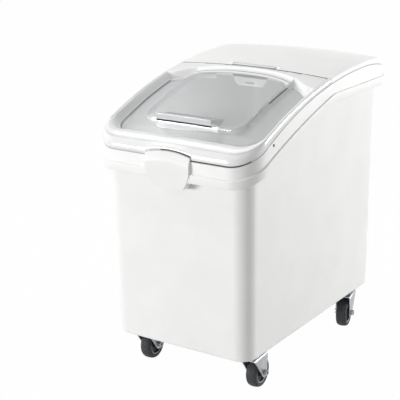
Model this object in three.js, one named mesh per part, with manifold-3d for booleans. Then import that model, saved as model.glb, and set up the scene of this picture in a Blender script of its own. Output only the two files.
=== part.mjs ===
// Rice bin with a flip lid: a moulded tub on four swivel casters, a fixed rear cover,
// a clear front lid on a hinge pin, and a clear scoop that lies on the floor of the tub.
// Millimetres, +Z up, the front towards -Y. The origin is on the floor under the middle of the bin.
import * as THREE from 'three';
import { mergeVertices } from 'three/addons/utils/BufferGeometryUtils.js';
import Module from 'manifold-3d';

const wasm = await Module();
wasm.setup();

// Shared values
const seatGap = 0.3; // between pieces that rest on each other
const overrun = 10; // how far a cutter runs past what it cuts
const weld = 0.001; // vertices closer than this are one
const quarter = Math.PI / 2;

// Caster stack, from the floor up
const wheelRadius = 38;
const wheelToCrown = 8;
const forkSheet = 2.5;
const raceHeight = 12;
const plateSheet = 2.5;
const crownUnder = 2 * wheelRadius + wheelToCrown;
const crownTop = crownUnder + forkSheet;
const raceBottom = crownTop + seatGap;
const raceTop = raceBottom + raceHeight;
const plateBottom = raceTop + seatGap;
const plateTop = plateBottom + plateSheet;
const tubBase = plateTop + seatGap;

// Tub: a drafted box with round corners
const tubWidth = 375; // outside, at the underside
const tubLength = 624;
const tubCorner = 37.5;
const tubDraftShare = 0.009; // outward lean per millimetre of height
const tubWall = 3.5;
const tubFloor = 5;
const footFillet = 8;
const innerFillet = 14;
const cornerSteps = 5;
const filletSteps = 3;

// Side profile: the rail that lid and cover follow
const crestHeight = 611; // rail top above the tub's underside
const crestRadius = 1160;
const crestSetback = 115; // its highest point, in front of the rear wall
const droopSetback = 112; // where the extra fall to the rear begins
const droopRun = 138;
const rearDroop = 16;
const frontCrown = 3; // rise of the middle over the rails
const hingeCrown = 8;
const coverLength = 297; // hinge line to rear wall
const hingeSlit = 0.6; // open line between lid and cover
const seamDrop = 14; // seam below the rail
const seamExtraDrop = 10; // added at the front
const seamTurnSetback = 35; // the added drop begins here, in front of the hinge line

// Rim of the tub, as offsets out from the wall and heights at the seam
const rimLine = 20; // where on the rim the side profile is read
const frontReach = 4; // the rim stands further out over the front wall
const lipIn = 9.5;
const lipOut = 13;
const lipRise = 6;
const lipRound = 1;
const ledgeOut = 17.5;
const upperTierOut = 18.5;
const lowerTierOut = 23;
const tierStep = 21; // height of the lower tier
const tierRound = 2;
const skirtWall = 3.5;
const deckDrop = 8; // deck below the seam
const rimFrontDrop = 48; // lower edge below the seam, at the front
const rimKneeDrop = 60; // lower edge below the rail, at the knee
const kneeSetback = 15; // the knee, behind the hinge line
const rimBow = 10;

// Pull grip under the front rim
const gripHalfWidth = 59;
const gripHeight = 84;
const gripProud = 3.6; // past the lower tier
const gripTaper = 5; // its lower edge stands back
const gripSlope = 26; // height of the sloped shoulder under the lid's arch
const gripShoulder = 10; // run of that shoulder
const gripWall = 3.5;
const gripRoof = 5.5; // material left over the finger space
const gripHollowShare = 0.4; // of its height, how far the hollow's outline is pushed up
const gripOutlineShares = [[0.5, 0], [0.74, 0.09], [0.86, 0.25], [0.97, 0.46], [1, 0.6], [1, 0.9]];

// Lid: rail, sunken moat, raised panel, pull
const lidWall = 2.5;
const railInset = 6.5; // rail top from the skirt, at the sides
const noseInset = 32.5; // and at the front
const railCorner = 48;
const footInset = 24; // moat's outer foot from the skirt, at the sides
const footFrontInset = 52.5;
const footCorner = 38;
const skirtRise = 6; // upright part of the skirt
const rollShares = [1 / 3, 2 / 3]; // of the quarter turn from the skirt to the rail top
const flankShares = [1 / 3, 2 / 3, 1]; // from the rail top down to the moat's foot
const moatDepth = 18;
const moatRoom = 40; // height above its floor in which the panel is made
const rampNear = 17; // ramp up to the hinge border, at the middle
const rampFar = 75; // and at the sides
const rampPower = 2.6;
const panelHalfWidth = 135;
const panelSetback = 87.6; // panel's front edge from the skirt
const panelCorner = 28;
const panelDrop = 4;
const panelSink = 0.6; // where the panel runs out under the hinge border
const panelStopShares = [0, 0.03, 0.07, 0.12, 0.22, 0.42, 0.62, 0.82, 1];
const archHalfWidth = 60;
const archRise = 17; // arch over the grip, above the seam
const archEnds = 9;
const archGap = 1;
const lidStopShares = [0, 0.034, 0.068, 0.113, 0.168, 0.251, 0.414, 0.604, 0.805, 1];
const acrossShares = [-0.75, -0.4, 0, 0.4, 0.75];
const frontShares = [-1, -0.75, -0.4, 0, 0.4, 0.75, 1];

// Pull: a hood open to the front and below
const pullHalfWidth = 73.5;
const pullOverhang = 26; // past the panel's front edge
const pullHeight = 18;
const pullLean = 4;
const pullRound = 3;
const pullRun = 25; // its top runs out on the panel this far back
const pullWall = 2.5;
const pullFoot = 2.4; // lower edge below the panel surface
const pullBury = 4; // how deep its roots lie in the panel

// Hinge
const tongueHalfWidth = 58;
const tongueRun = 16; // behind the hinge line
const tongueProud = 1;
const tongueRoot = 4;
const hingeAxisSetback = 10;
const hingeAxisDrop = 3;
const barrelRadius = 4.5;
const pinRadius = 2;
const pinRecess = 2.3; // its ends, inside the bosses' outer faces
const pinSteps = 12;
const notchClearance = 2.3; // beside the tongue
const notchRun = 18;
const bossRadius = 5;
const bossLength = 9;

// Rear cover
const coverWall = 2.5;
const rearInset = 50;
const coverCorner = 52;
const coverFarShares = [0.3, 0.55, 0.8, 1];
const ledgeDrop = 8; // step under the lid's border
const ledgeClearance = 3.5; // beside its ends, to the tub's sides at the underside
const ledgeFront = 14; // its front edge, ahead of the hinge line
const ledgeRound = 1.2;
const ledgeRoot = 1.5;
const hookDrop = 43; // flange and scoop hook, below the surface
const hookHalfWidth = 43;
const hookFlare = 7;
const stripDrop = 33;
const notchDrop = 22;
const notchFarX = 96;
const slotHalfWidth = 13;
const slotHalfHeight = 3;
const slotDrop = 35;

// Casters
const kingpinInsetX = 35.5; // kingpin from the tub's side
const kingpinFrontInset = 74; // from the front wall
const kingpinRearInset = 66;
const trail = 30;
const plateX = 56;
const plateY = 84;
const plateCorner = 6;
const screwInset = 7.5;
const screwRadius = 2.4;
const screwHead = 4.6;
const screwHeadHeight = 2.6;
const screwLength = 10;
const screwHole = 1; // the blind hole is this much deeper
const screwSteps = 6;
const padRise = 8;
const padMargin = 3;
const kingpinRadius = 5;
const kingpinHead = 9;
const kingpinHeadHeight = 3.5;
const kingpinSteps = 10;
const raceRadius = 19;
const raceWaist = 16;
const raceSteps = 16;
const forkInnerHalf = 17;
const forkBend = 6;
const forkFront = 22; // crown, ahead of the kingpin
const forkBack = 15; // cheek, behind the axle
const forkShoulder = 15;
const forkBoss = 12;
const forkBossStart = 2.4; // quarter turns at which the boss's curve leaves the cheek
const crownSkirt = 9;
const axleRadius = 4;
const axleHead = 7;
const axleHeadHeight = 4.5;
const axleEnd = 5.5;
const nutRadius = 7.5;
const nutHeight = 6.5;
const sleeveWall = 2;
const hubRadius = 27;
const hubHalfWidth = 13;
const hubBoss = 10.5;
const hubBossHalfWidth = 15.5;
const hubWeb = 5;
const hubRim = 3;
const hubSteps = 16;
const tyreHalfWidth = 13.8;
const tyreShoulder = 5;
const tyreCrown = 1.3;
const tyreSteps = 24;
const hexSteps = 6;
const corners = [
  { name: 'front_left', side: -1, end: -1, turn: 5 },
  { name: 'front_right', side: 1, end: -1, turn: 4.4 },
  { name: 'rear_left', side: -1, end: 1, turn: 188 },
  { name: 'rear_right', side: 1, end: 1, turn: 193 },
];

// Scoop
const scoopWidth = 104;
const scoopLength = 178;
const scoopHeight = 92;
const scoopWall = 2;
const scoopCorner = 24;
const scoopBackLean = 26;
const scoopMouthHeight = 52;
const scoopMouthRun = 34;
const scoopHeel = 14;
const handleLength = 128;
const handleWidth = 30;
const handleDepth = 17;
const handleRise = 16;
const thumbRun = 26;
const thumbRise = 13;
const thumbHalfWidth = 19;
const scoopFront = -118; // tip of the scoop, from the middle of the tub

const finishes = {
  whitePlastic: { color: '#f2f2f1', roughness: 0.42, metalness: 0 },
  clearPlastic: { color: '#dde2e6', roughness: 0.1, metalness: 0, transparent: true, opacity: 0.4 },
  zincSteel: { color: '#a7aaac', roughness: 0.36, metalness: 0.9 },
  hubPlastic: { color: '#2b2d2f', roughness: 0.5, metalness: 0 },
  tyreRubber: { color: '#3c3e40', roughness: 0.7, metalness: 0 },
};

// Places worked out from the sizes
const halfWidth = tubWidth / 2;
const ledgeHalfWidth = halfWidth - ledgeClearance;
const pinLength = 2 * (tongueHalfWidth + notchClearance + bossLength - pinRecess);
const halfLength = tubLength / 2;
const hingeY = halfLength - coverLength;
const frontRead = -halfLength - rimLine;
const crestTop = tubBase + crestHeight;
const crestTopY = halfLength - crestSetback;
const crownHalf = halfWidth + ledgeOut;
const kneeY = hingeY + kneeSetback;
const lidRear = hingeY - hingeSlit / 2;
const coverFront = hingeY + hingeSlit / 2;
const kneeShare = (kneeY - coverFront) / (halfLength - tubCorner - coverFront);
const coverStopShares = [0, kneeShare, ...coverFarShares];

const clamp01 = (value) => Math.min(1, Math.max(0, value));
const smooth = (value) => clamp01(value) ** 2 * (3 - 2 * clamp01(value));
const mix = THREE.MathUtils.lerp;

// Height of the rail at a place along the bin
function rail(y) {
  const arc = crestTop - crestRadius + Math.sqrt(crestRadius ** 2 - (y - crestTopY) ** 2);
  const past = Math.max(0, y - halfLength + droopSetback) / droopRun;
  return arc - rearDroop * past ** 2;
}

// Top surface of lid border and cover, crowned across the bin
function surface(x, y) {
  const crown = mix(frontCrown, hingeCrown, clamp01((y - frontRead) / (hingeY - frontRead)));
  return rail(y) + crown * Math.max(0, 1 - (x / crownHalf) ** 2);
}

// Seam between the rim and what lies on it
function seam(y) {
  const turnY = hingeY - seamTurnSetback;
  const share = Math.max(0, turnY - y) / (turnY - frontRead);
  return rail(y) - seamDrop - seamExtraDrop * share ** 2;
}

// Lower edge of the rim: a bowed rise from the front, then level behind the knee
function rimLow(y) {
  const level = rail(kneeY) - rimKneeDrop;
  const front = seam(frontRead) - rimFrontDrop;
  const share = clamp01((y - frontRead) / (kneeY - frontRead));
  const bow = 4 * rimBow * share * (1 - share);
  return mix(front, level, share) + bow;
}

// Drop of the lid's moat below the surface, rising to nothing at the hinge border
function moatDrop(x, y) {
  const across = Math.min(1, Math.abs(x) / (crownHalf - footInset));
  const run = rampNear + (rampFar - rampNear) * across ** rampPower;
  return moatDepth * smooth((lidRear - y) / run);
}

// Top of the lid's raised panel
function panelTop(x, y) {
  return surface(x, y) - panelSink - (panelDrop - panelSink) * moatDrop(x, y) / moatDepth;
}

// Solids and meshes
function geometryFrom(points, index) {
  const geometry = new THREE.BufferGeometry();
  const flat = points.flatMap((point) => [point.x, point.y, point.z]);
  geometry.setAttribute('position', new THREE.Float32BufferAttribute(flat, 3));
  if (index) geometry.setIndex(index);
  return geometry;
}

function solid(source) {
  const bare = source.clone();
  bare.deleteAttribute('normal');
  bare.deleteAttribute('uv');
  const merged = mergeVertices(bare, weld);
  const vertProperties = Float32Array.from(merged.getAttribute('position').array);
  const triVerts = Uint32Array.from(merged.index.array);
  return new wasm.Manifold(new wasm.Mesh({ numProp: 3, vertProperties, triVerts }));
}

function geometryOf(body) {
  const mesh = body.getMesh();
  const geometry = new THREE.BufferGeometry();
  geometry.setAttribute('position', new THREE.BufferAttribute(mesh.vertProperties, mesh.numProp));
  geometry.setIndex(new THREE.BufferAttribute(mesh.triVerts, 1));
  return geometry;
}

function piece(name, source, finish) {
  const geometry = source instanceof THREE.BufferGeometry ? source : geometryOf(source);
  const mesh = new THREE.Mesh(geometry, new THREE.MeshStandardMaterial(finishes[finish]));
  mesh.name = name;
  return mesh;
}

// Shapes drawn in a plane and drawn out along the third axis
function shapeOf(points) {
  return new THREE.Shape(points.map(([u, v]) => new THREE.Vector2(u, v)));
}

function drawn(shape, low, high, curveSegments) {
  return new THREE.ExtrudeGeometry(shape, { depth: high - low, bevelEnabled: false, curveSegments });
}

function slabX(shape, low, high, curveSegments = 6) {
  const turn = new THREE.Matrix4().makeBasis(
    new THREE.Vector3(0, 1, 0), new THREE.Vector3(0, 0, 1), new THREE.Vector3(1, 0, 0));
  return solid(drawn(shape, low, high, curveSegments).applyMatrix4(turn).translate(low, 0, 0));
}

function slabY(shape, low, high, curveSegments = 6) {
  return solid(drawn(shape, low, high, curveSegments).rotateX(quarter).translate(0, high, 0));
}

function slabZ(shape, low, high, curveSegments = 6) {
  return solid(drawn(shape, low, high, curveSegments).translate(0, 0, low));
}

function roundedRectangle(width, height, radius) {
  const shape = new THREE.Shape();
  const u = width / 2;
  const v = height / 2;
  shape.absarc(u - radius, v - radius, radius, 0, quarter);
  shape.absarc(radius - u, v - radius, radius, quarter, 2 * quarter);
  shape.absarc(radius - u, radius - v, radius, 2 * quarter, 3 * quarter);
  shape.absarc(u - radius, radius - v, radius, 3 * quarter, 4 * quarter);
  return shape;
}

function rod(radius, length, steps) {
  return new THREE.CylinderGeometry(radius, radius, length, steps);
}

// A revolve about Z from [radius, height] points
function turned(points, steps, start = 0) {
  const profile = points.map(([radius, height]) => new THREE.Vector2(radius, height));
  return new THREE.LatheGeometry(profile, steps, start).rotateX(quarter);
}

// Triangles of a net of points, seen from above when its rows run to -Y and its columns to +X
function net(rows) {
  const triangles = [];
  for (let i = 0; i + 1 < rows.length; i++) {
    for (let j = 0; j + 1 < rows[i].length; j++) {
      const [a, b] = [rows[i][j], rows[i + 1][j]];
      const [c, d] = [rows[i + 1][j + 1], rows[i][j + 1]];
      triangles.push(a, b, c, a, c, d);
    }
  }
  return triangles;
}

// A closed wall from an open skin: each point gets a partner, and the open edges are joined
function walled(triangles, partner) {
  const skin = mergeVertices(geometryFrom(triangles), weld);
  skin.computeVertexNormals();
  const place = skin.getAttribute('position');
  const normal = skin.getAttribute('normal');
  const outer = [];
  const inner = [];
  for (let i = 0; i < place.count; i++) {
    const point = new THREE.Vector3().fromBufferAttribute(place, i);
    outer.push(point);
    inner.push(partner(point, new THREE.Vector3().fromBufferAttribute(normal, i)));
  }
  const count = outer.length;
  const index = [];
  const edges = new Map();
  const faces = skin.index.array;
  for (let i = 0; i < faces.length; i += 3) {
    const [a, b, c] = faces.slice(i, i + 3);
    index.push(a, b, c, c + count, b + count, a + count);
    for (const [from, to] of [[a, b], [b, c], [c, a]]) edges.set(`${from} ${to}`, [from, to]);
  }
  for (const [from, to] of edges.values()) {
    if (edges.has(`${to} ${from}`)) continue;
    index.push(to, from, from + count, to, from + count, to + count);
  }
  return solid(geometryFrom([...outer, ...inner], index));
}

// Partner points a wall's thickness inside the skin, none of them further back than a limit
const inward = (thickness, limit = Infinity) => (point, normal) => {
  const partner = point.clone().addScaledVector(normal, -thickness);
  return partner.setY(Math.min(partner.y, limit));
};

// Outline of the tub: points with the direction out of the wall
function cornerStation(end, turn) {
  const [nx, ny] = [Math.cos(turn), end * Math.sin(turn)];
  const x = halfWidth - tubCorner + tubCorner * nx;
  const y = end * (halfLength - tubCorner) + tubCorner * ny;
  return { x, y, nx, ny };
}

function outward(station, offset, z) {
  const reach = offset > 0 ? frontReach * Math.max(0, -station.ny) ** 2 : 0;
  const out = offset + reach + tubDraftShare * (z - tubBase);
  return new THREE.Vector3(station.x + station.nx * out, station.y + station.ny * out, z);
}

function tubOutline() {
  const straight = halfLength - tubCorner;
  const right = [];
  for (let i = cornerSteps; i >= 0; i--) right.push(cornerStation(-1, i / cornerSteps * quarter));
  const stops = lidStopShares.slice(0, -1).map((share) => mix(lidRear, -straight, share)).reverse();
  stops.push(...coverStopShares.slice(1, -1).map((share) => mix(coverFront, straight, share)));
  for (const y of stops) right.push({ x: halfWidth, y, nx: 1, ny: 0 });
  for (let i = 0; i <= cornerSteps; i++) right.push(cornerStation(1, i / cornerSteps * quarter));
  const left = right.map(({ x, y, nx, ny }) => ({ x: -x, y, nx: -nx, ny })).reverse();
  return [...right, ...left];
}

// Section of wall and stepped rim at one station, from the underside over the rim to the floor inside
function tubSection(station) {
  const y = station.y + station.ny * rimLine;
  const seat = seam(y);
  const low = rimLow(y);
  const deck = seat - deckDrop;
  const step = low + tierStep;
  const upperIn = upperTierOut - skirtWall + lipRound / 2;
  const lowerIn = lowerTierOut - skirtWall;
  const points = [];
  for (let i = 0; i <= filletSteps; i++) {
    const turn = i / filletSteps * quarter;
    points.push([footFillet * (Math.sin(turn) - 1), tubBase + footFillet * (1 - Math.cos(turn))]);
  }
  points.push([0, deck - tubWall], [upperIn, deck - tubWall], [upperIn, step - skirtWall]);
  points.push([lowerIn, step - skirtWall], [lowerIn, low], [lowerTierOut - lipRound, low]);
  points.push([lowerTierOut, low + tierRound], [lowerTierOut, step - tierRound]);
  points.push([lowerTierOut - lipRound, step], [upperTierOut, step + lipRound / 2]);
  points.push([upperTierOut, seat - tierRound], [ledgeOut, seat], [lipOut, seat]);
  points.push([lipOut, seat + lipRise - lipRound], [lipOut - lipRound, seat + lipRise]);
  points.push([lipIn, seat + lipRise], [lipIn, deck], [lipRound - tubWall, deck]);
  points.push([-tubWall, deck - lipRound]);
  for (let i = 0; i <= filletSteps; i++) {
    const turn = i / filletSteps * quarter;
    const inside = tubWall + innerFillet * (1 - Math.cos(turn));
    points.push([-inside, tubBase + tubFloor + innerFillet * (1 - Math.sin(turn))]);
  }
  return points.map(([offset, z]) => outward(station, offset, z));
}

function tubShell() {
  const sections = tubOutline().map(tubSection);
  const triangles = [];
  const last = sections[0].length - 1;
  const under = new THREE.Vector3(0, 0, tubBase);
  const floor = new THREE.Vector3(0, 0, tubBase + tubFloor);
  sections.forEach((here, i) => {
    const next = sections[(i + 1) % sections.length];
    for (let j = 0; j < last; j++) {
      triangles.push(here[j], next[j], next[j + 1], here[j], next[j + 1], here[j + 1]);
    }
    triangles.push(under, next[0], here[0], floor, here[last], next[last]);
  });
  return solid(geometryFrom(triangles));
}

// Front wall or rim face at a height
function frontFace(offset, z) {
  const reach = offset > 0 ? frontReach : 0;
  return -halfLength - offset - reach - tubDraftShare * (z - tubBase);
}

function gripShape(half, top, height, arch) {
  const right = gripOutlineShares.map(([u, v]) => [u * half, top - height * (1 - v)]);
  const shape = shapeOf(right);
  shape.quadraticCurveTo(0, top + arch, -right.at(-1)[0], right.at(-1)[1]);
  for (const [u, v] of right.slice(0, -1).reverse()) shape.lineTo(-u, v);
  shape.closePath();
  return shape;
}

function addGrip(tub) {
  const top = seam(frontRead) + archRise - archGap;
  const crease = top - gripSlope;
  const face = frontFace(lowerTierOut + gripProud, crease);
  const back = frontFace(lipIn, crease);
  const bottom = top - gripHeight;
  const side = shapeOf([
    [face + gripTaper, bottom], [face, crease], [face + gripShoulder, top], [back, top], [back, bottom],
  ]);
  const outline = slabY(gripShape(gripHalfWidth, top, gripHeight, archEnds - archGap), face, back);
  const boss = outline.intersect(slabX(side, -gripHalfWidth, gripHalfWidth));
  const wall = frontFace(0, top) - seatGap;
  const roof = seam(frontRead) - deckDrop - tubWall - gripRoof;
  const low = bottom - overrun;
  const inner = shapeOf([
    [face + gripTaper + gripWall, low], [face + gripWall, roof], [wall, roof], [wall, low],
  ]);
  const hollowHalf = gripHalfWidth - gripWall;
  const hollowTop = roof + gripHeight * gripHollowShare;
  const hollow = slabY(gripShape(hollowHalf, hollowTop, gripHeight + overrun, 0), face, wall)
    .intersect(slabX(inner, -hollowHalf, hollowHalf));
  return tub.add(boss).subtract(hollow);
}

// Kingpin places, pads inside the floor and their blind screw holes
function casterPlace({ side, end }) {
  const inset = end < 0 ? kingpinFrontInset : kingpinRearInset;
  return new THREE.Vector3(side * (halfWidth - kingpinInsetX), end * (halfLength - inset), 0);
}

function screwPlaces() {
  const [u, v] = [plateX / 2 - screwInset, plateY / 2 - screwInset];
  return [[-u, -v], [u, -v], [u, v], [-u, v]];
}

function addPads(tub) {
  let body = tub;
  for (const corner of corners) {
    const { x, y } = casterPlace(corner);
    const shape = roundedRectangle(plateX + 2 * padMargin, plateY + 2 * padMargin, plateCorner);
    const pad = slabZ(shape, tubBase + tubFloor / 2, tubBase + tubFloor + padRise, 2);
    body = body.add(pad.translate(x, y, 0));
  }
  for (const corner of corners) {
    const { x, y } = casterPlace(corner);
    const deep = screwLength + screwHole;
    for (const [u, v] of screwPlaces()) {
      const hole = rod(screwRadius + seatGap, deep + overrun, screwSteps).rotateX(quarter);
      body = body.subtract(solid(hole.translate(x + u, y + v, tubBase + (deep - overrun) / 2)));
    }
  }
  return body;
}

function binBody() {
  return piece('bin_body', addPads(addGrip(tubShell())), 'whitePlastic');
}

// Rails of lid and cover. A row is a place along one side, or on the corner past it.
function railRows(stopShares) {
  const rows = stopShares.map((share) => ({ share, turn: 0 }));
  for (let i = 1; i <= cornerSteps; i++) rows.push({ share: 1, turn: i / cornerSteps * quarter });
  return rows;
}

function seatPoint(row, end, start) {
  const straight = end * (halfLength - tubCorner);
  const side = { x: halfWidth, y: mix(start, straight, row.share), nx: 1, ny: 0 };
  const station = row.turn > 0 ? cornerStation(end, row.turn) : side;
  const seat = seam(station.y + station.ny * rimLine);
  return outward(station, ledgeOut, seat);
}

function insetPoint(row, end, start, sideInset, endInset, corner) {
  const edge = seatPoint({ share: 1, turn: quarter }, end, start).y - end * endInset;
  const centre = edge - end * corner;
  const y = row.turn > 0 ? centre + end * corner * Math.sin(row.turn) : mix(start, centre, row.share);
  const half = halfWidth + tubDraftShare * (rail(y) - tubBase) + ledgeOut - sideInset;
  return new THREE.Vector3(half - corner * (1 - Math.cos(row.turn)), y, surface(half, y));
}

// Skirt and rounded rail from the seam to the rail top
function skirtPoints(seat, top) {
  const low = seat.z + skirtRise;
  const points = [seat.clone().setZ(seat.z + seatGap), seat.clone().setZ(low)];
  for (const share of rollShares) {
    const out = Math.cos(share * quarter);
    const z = mix(low, top.z, Math.sin(share * quarter));
    points.push(new THREE.Vector3(mix(top.x, seat.x, out), mix(top.y, seat.y, out), z));
  }
  points.push(top);
  return points;
}

const onSurface = ({ x, y }, drop = 0) => new THREE.Vector3(x, y, surface(x, y) - drop);
const mirrored = ({ x, y, z }) => new THREE.Vector3(-x, y, z);
const narrowed = ({ x, y, z }, share) => new THREE.Vector3(x * share, y, z);

function lidSection(seat, top, foot) {
  const points = skirtPoints(seat, onSurface(top));
  for (const share of flankShares) {
    const place = new THREE.Vector3().lerpVectors(top, foot, share);
    points.push(onSurface(place, moatDrop(place.x, place.y) * smooth(share)));
  }
  return points;
}

// Where each row of the lid meets the rim, the top of the rail and the moat's outer foot
function lidRows() {
  return railRows(lidStopShares).map((row) => [
    seatPoint(row, -1, lidRear),
    insetPoint(row, -1, lidRear, railInset, noseInset, railCorner),
    insetPoint(row, -1, lidRear, footInset, footFrontInset, footCorner),
  ]);
}

function moatFloor(foot) {
  return acrossShares.map((share) => {
    const place = narrowed(foot, share);
    return onSurface(place, moatDrop(place.x, place.y));
  });
}

function lidSkin() {
  const rows = lidRows();
  const across = rows.map(([seat, top, foot]) => {
    const right = lidSection(seat, top, foot);
    return [...right.map(mirrored), ...moatFloor(foot), ...right.toReversed()];
  });
  const ends = rows.at(-1);
  const columns = frontShares.map((share) => lidSection(...ends.map((point) => narrowed(point, share))));
  const front = columns[0].map((_, i) => columns.map((column) => column[i])).reverse();
  return [...net(across), ...net(front)];
}

// The room above the middle of the moat floor's wall
function aboveMoat() {
  const rows = lidRows().map(([, , foot]) => {
    const edge = onSurface(foot, moatDrop(foot.x, foot.y));
    return [mirrored(edge), ...moatFloor(foot), edge].map((point) => point.setZ(point.z + moatRoom));
  });
  return walled(net(rows), ({ x, y, z }) => new THREE.Vector3(x, y, z - moatRoom - lidWall / 2));
}

// The raised panel as a block between two surfaces, its outline drawn in by an inset
function panelBlock(inset, top, under) {
  const front = seatPoint({ share: 1, turn: quarter }, -1, lidRear).y + panelSetback + inset;
  const rear = lidRear - panelSink - inset;
  const corner = panelCorner - inset;
  const half = panelHalfWidth - inset;
  const stops = [];
  for (const share of panelStopShares) stops.push([half, mix(rear, front + corner, share)]);
  for (let i = 1; i <= cornerSteps; i++) {
    const turn = i / cornerSteps * quarter;
    stops.push([half - corner * (1 - Math.cos(turn)), front + corner * (1 - Math.sin(turn))]);
  }
  const rows = stops.map(([x, y]) => frontShares.map((share) => {
    return new THREE.Vector3(x * share, y, top(x * share, y));
  }));
  return walled(net(rows), ({ x, y }) => new THREE.Vector3(x, y, under(x, y)));
}

function pullHood() {
  const edge = seatPoint({ share: 1, turn: quarter }, -1, lidRear).y + panelSetback;
  const y = edge - pullOverhang;
  const z = surface(0, edge) - pullFoot;
  const back = edge + pullRun;
  const backTop = panelTop(0, back);
  const outer = shapeOf([
    [y, z], [y - pullLean, z + pullHeight], [y - pullLean + pullRound, z + pullHeight + pullRound / 2],
    [back, backTop], [back, backTop - pullBury], [edge + lidWall / 2, z - pullOverhang / 3],
  ]);
  const inner = shapeOf([
    [y + pullWall, z - overrun], [y + pullWall, z], [y - pullLean + pullWall, z + pullHeight - pullRound / 2],
    [back - 2 * pullWall, backTop - pullWall], [back - 2 * pullWall, z - overrun],
  ]);
  const hollow = slabX(inner, pullWall - pullHalfWidth, pullHalfWidth - pullWall);
  return slabX(outer, -pullHalfWidth, pullHalfWidth).subtract(hollow);
}

function archCutter() {
  const seat = seam(frontRead);
  const [low, ends, top] = [seat - overrun, seat + archEnds, seat + archRise];
  const shape = shapeOf([[-archHalfWidth, low], [archHalfWidth, low], [archHalfWidth, ends]]);
  shape.quadraticCurveTo(0, 2 * top - ends, -archHalfWidth, ends);
  const skirt = frontFace(ledgeOut, seat);
  return slabY(shape, skirt - overrun, skirt + lidWall + pullRound);
}

const hingeAxis = { y: hingeY + hingeAxisSetback, z: surface(0, hingeY + hingeAxisSetback) - hingeAxisDrop };

function crossRod(radius, length, steps) {
  return solid(rod(radius, length, steps).rotateZ(quarter).translate(0, hingeAxis.y, hingeAxis.z));
}

function hingeTongue() {
  const root = lidRear - tongueRoot;
  const end = hingeY + tongueRun;
  const top = (y) => surface(0, y) + tongueProud;
  const plate = shapeOf([
    [root, top(root) - tongueProud - lidWall], [end - tongueProud, top(end) - tongueProud - lidWall],
    [end, top(end) - 2 * tongueProud], [end - 2 * tongueProud, top(end)], [lidRear, top(lidRear)],
    [root, top(root) - 2 * tongueProud],
  ]);
  const barrel = crossRod(barrelRadius, 2 * tongueHalfWidth, pinSteps);
  return slabX(plate, -tongueHalfWidth, tongueHalfWidth).add(barrel);
}

function frontLid() {
  const low = (x, y) => surface(x, y) - moatDrop(x, y) - overrun;
  const panel = panelBlock(0, panelTop, low).intersect(aboveMoat());
  const hollow = panelBlock(lidWall, (x, y) => panelTop(x, y) - lidWall, low);
  const bore = crossRod(pinRadius + seatGap, pinLength, pinSteps);
  const shell = walled(lidSkin(), inward(lidWall, lidRear)).add(panel).add(pullHood()).subtract(hollow);
  return piece('front_lid', shell.subtract(archCutter()).add(hingeTongue()).subtract(bore), 'clearPlastic');
}

function coverSkin() {
  const rows = railRows(coverStopShares).map((row) => [
    seatPoint(row, 1, coverFront),
    insetPoint(row, 1, coverFront, railInset, rearInset, coverCorner),
  ]);
  const across = rows.map(([seat, top]) => {
    const right = skirtPoints(seat, onSurface(top));
    const middle = acrossShares.map((share) => onSurface(narrowed(top, share)));
    return [...right.map(mirrored), ...middle, ...right.toReversed()];
  });
  const columns = frontShares.map((share) => {
    const [seat, top] = rows.at(-1).map((point) => narrowed(point, share));
    return skirtPoints(seat, onSurface(top));
  });
  const rear = columns[0].map((_, i) => columns.map((column) => column[i]));
  return [...net(rear), ...net(across.reverse())];
}

// The cover's step under the lid's border, with the flange that hangs from it
function ledgeSkin() {
  const riser = coverFront + ledgeRound;
  const edge = hingeY - ledgeFront;
  const path = [
    [riser, ledgeRoot], [riser, ledgeDrop], [edge + ledgeRound, ledgeDrop],
    [edge, ledgeDrop + ledgeRound], [edge, hookDrop],
  ];
  const rows = path.map(([y, drop]) => frontShares.map((share) => {
    const x = ledgeHalfWidth * share;
    const z = drop === hookDrop ? surface(0, edge) - drop : surface(x, y) - drop;
    return new THREE.Vector3(x, y, z);
  }));
  return net(rows);
}

// What is cut off the flange beside the scoop hook, for one side
function flangeCutter(side) {
  const edge = hingeY - ledgeFront;
  const top = surface(0, edge);
  const low = top - hookDrop - overrun;
  const outer = ledgeHalfWidth + overrun;
  const shape = shapeOf([
    [side * (hookHalfWidth - hookFlare), low], [side * hookHalfWidth, top - hookDrop + hookFlare],
    [side * (hookHalfWidth + hookFlare), top - notchDrop], [side * notchFarX, top - notchDrop],
    [side * notchFarX, top - stripDrop], [side * outer, top - stripDrop], [side * outer, low],
  ]);
  return slabY(shape, edge - overrun, edge + coverWall + overrun / 2);
}

function hingeBoss(side) {
  const near = tongueHalfWidth + notchClearance;
  const boss = rod(bossRadius, bossLength, pinSteps).rotateZ(quarter);
  return solid(boss.translate(side * (near + bossLength / 2), hingeAxis.y, hingeAxis.z));
}

function rearCover() {
  const edge = hingeY - ledgeFront;
  const slot = roundedRectangle(2 * slotHalfWidth, 2 * slotHalfHeight, slotHalfHeight - seatGap);
  const slotZ = surface(0, edge) - slotDrop;
  const behind = edge + coverWall + overrun / 2;
  const notchHalf = tongueHalfWidth + notchClearance;
  const notch = shapeOf([
    [-notchHalf, coverFront - seatGap], [notchHalf, coverFront - seatGap],
    [notchHalf, hingeY + notchRun], [-notchHalf, hingeY + notchRun],
  ]);
  const skirt = walled(coverSkin(), inward(coverWall));
  let cover = skirt.add(walled(ledgeSkin(), inward(coverWall)));
  cover = cover.add(hingeBoss(-1)).add(hingeBoss(1));
  cover = cover.subtract(flangeCutter(-1)).subtract(flangeCutter(1));
  cover = cover.subtract(slabY(slot, edge - overrun, behind, 2).translate(0, 0, slotZ));
  cover = cover.subtract(slabZ(notch, hingeAxis.z - 2 * barrelRadius, crestTop + overrun));
  cover = cover.subtract(crossRod(pinRadius + seatGap, pinLength + overrun, pinSteps));
  return piece('rear_cover', cover, 'whitePlastic');
}

function hingePin() {
  return piece('hinge_pin', crossRod(pinRadius, pinLength, pinSteps), 'zincSteel');
}

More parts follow.
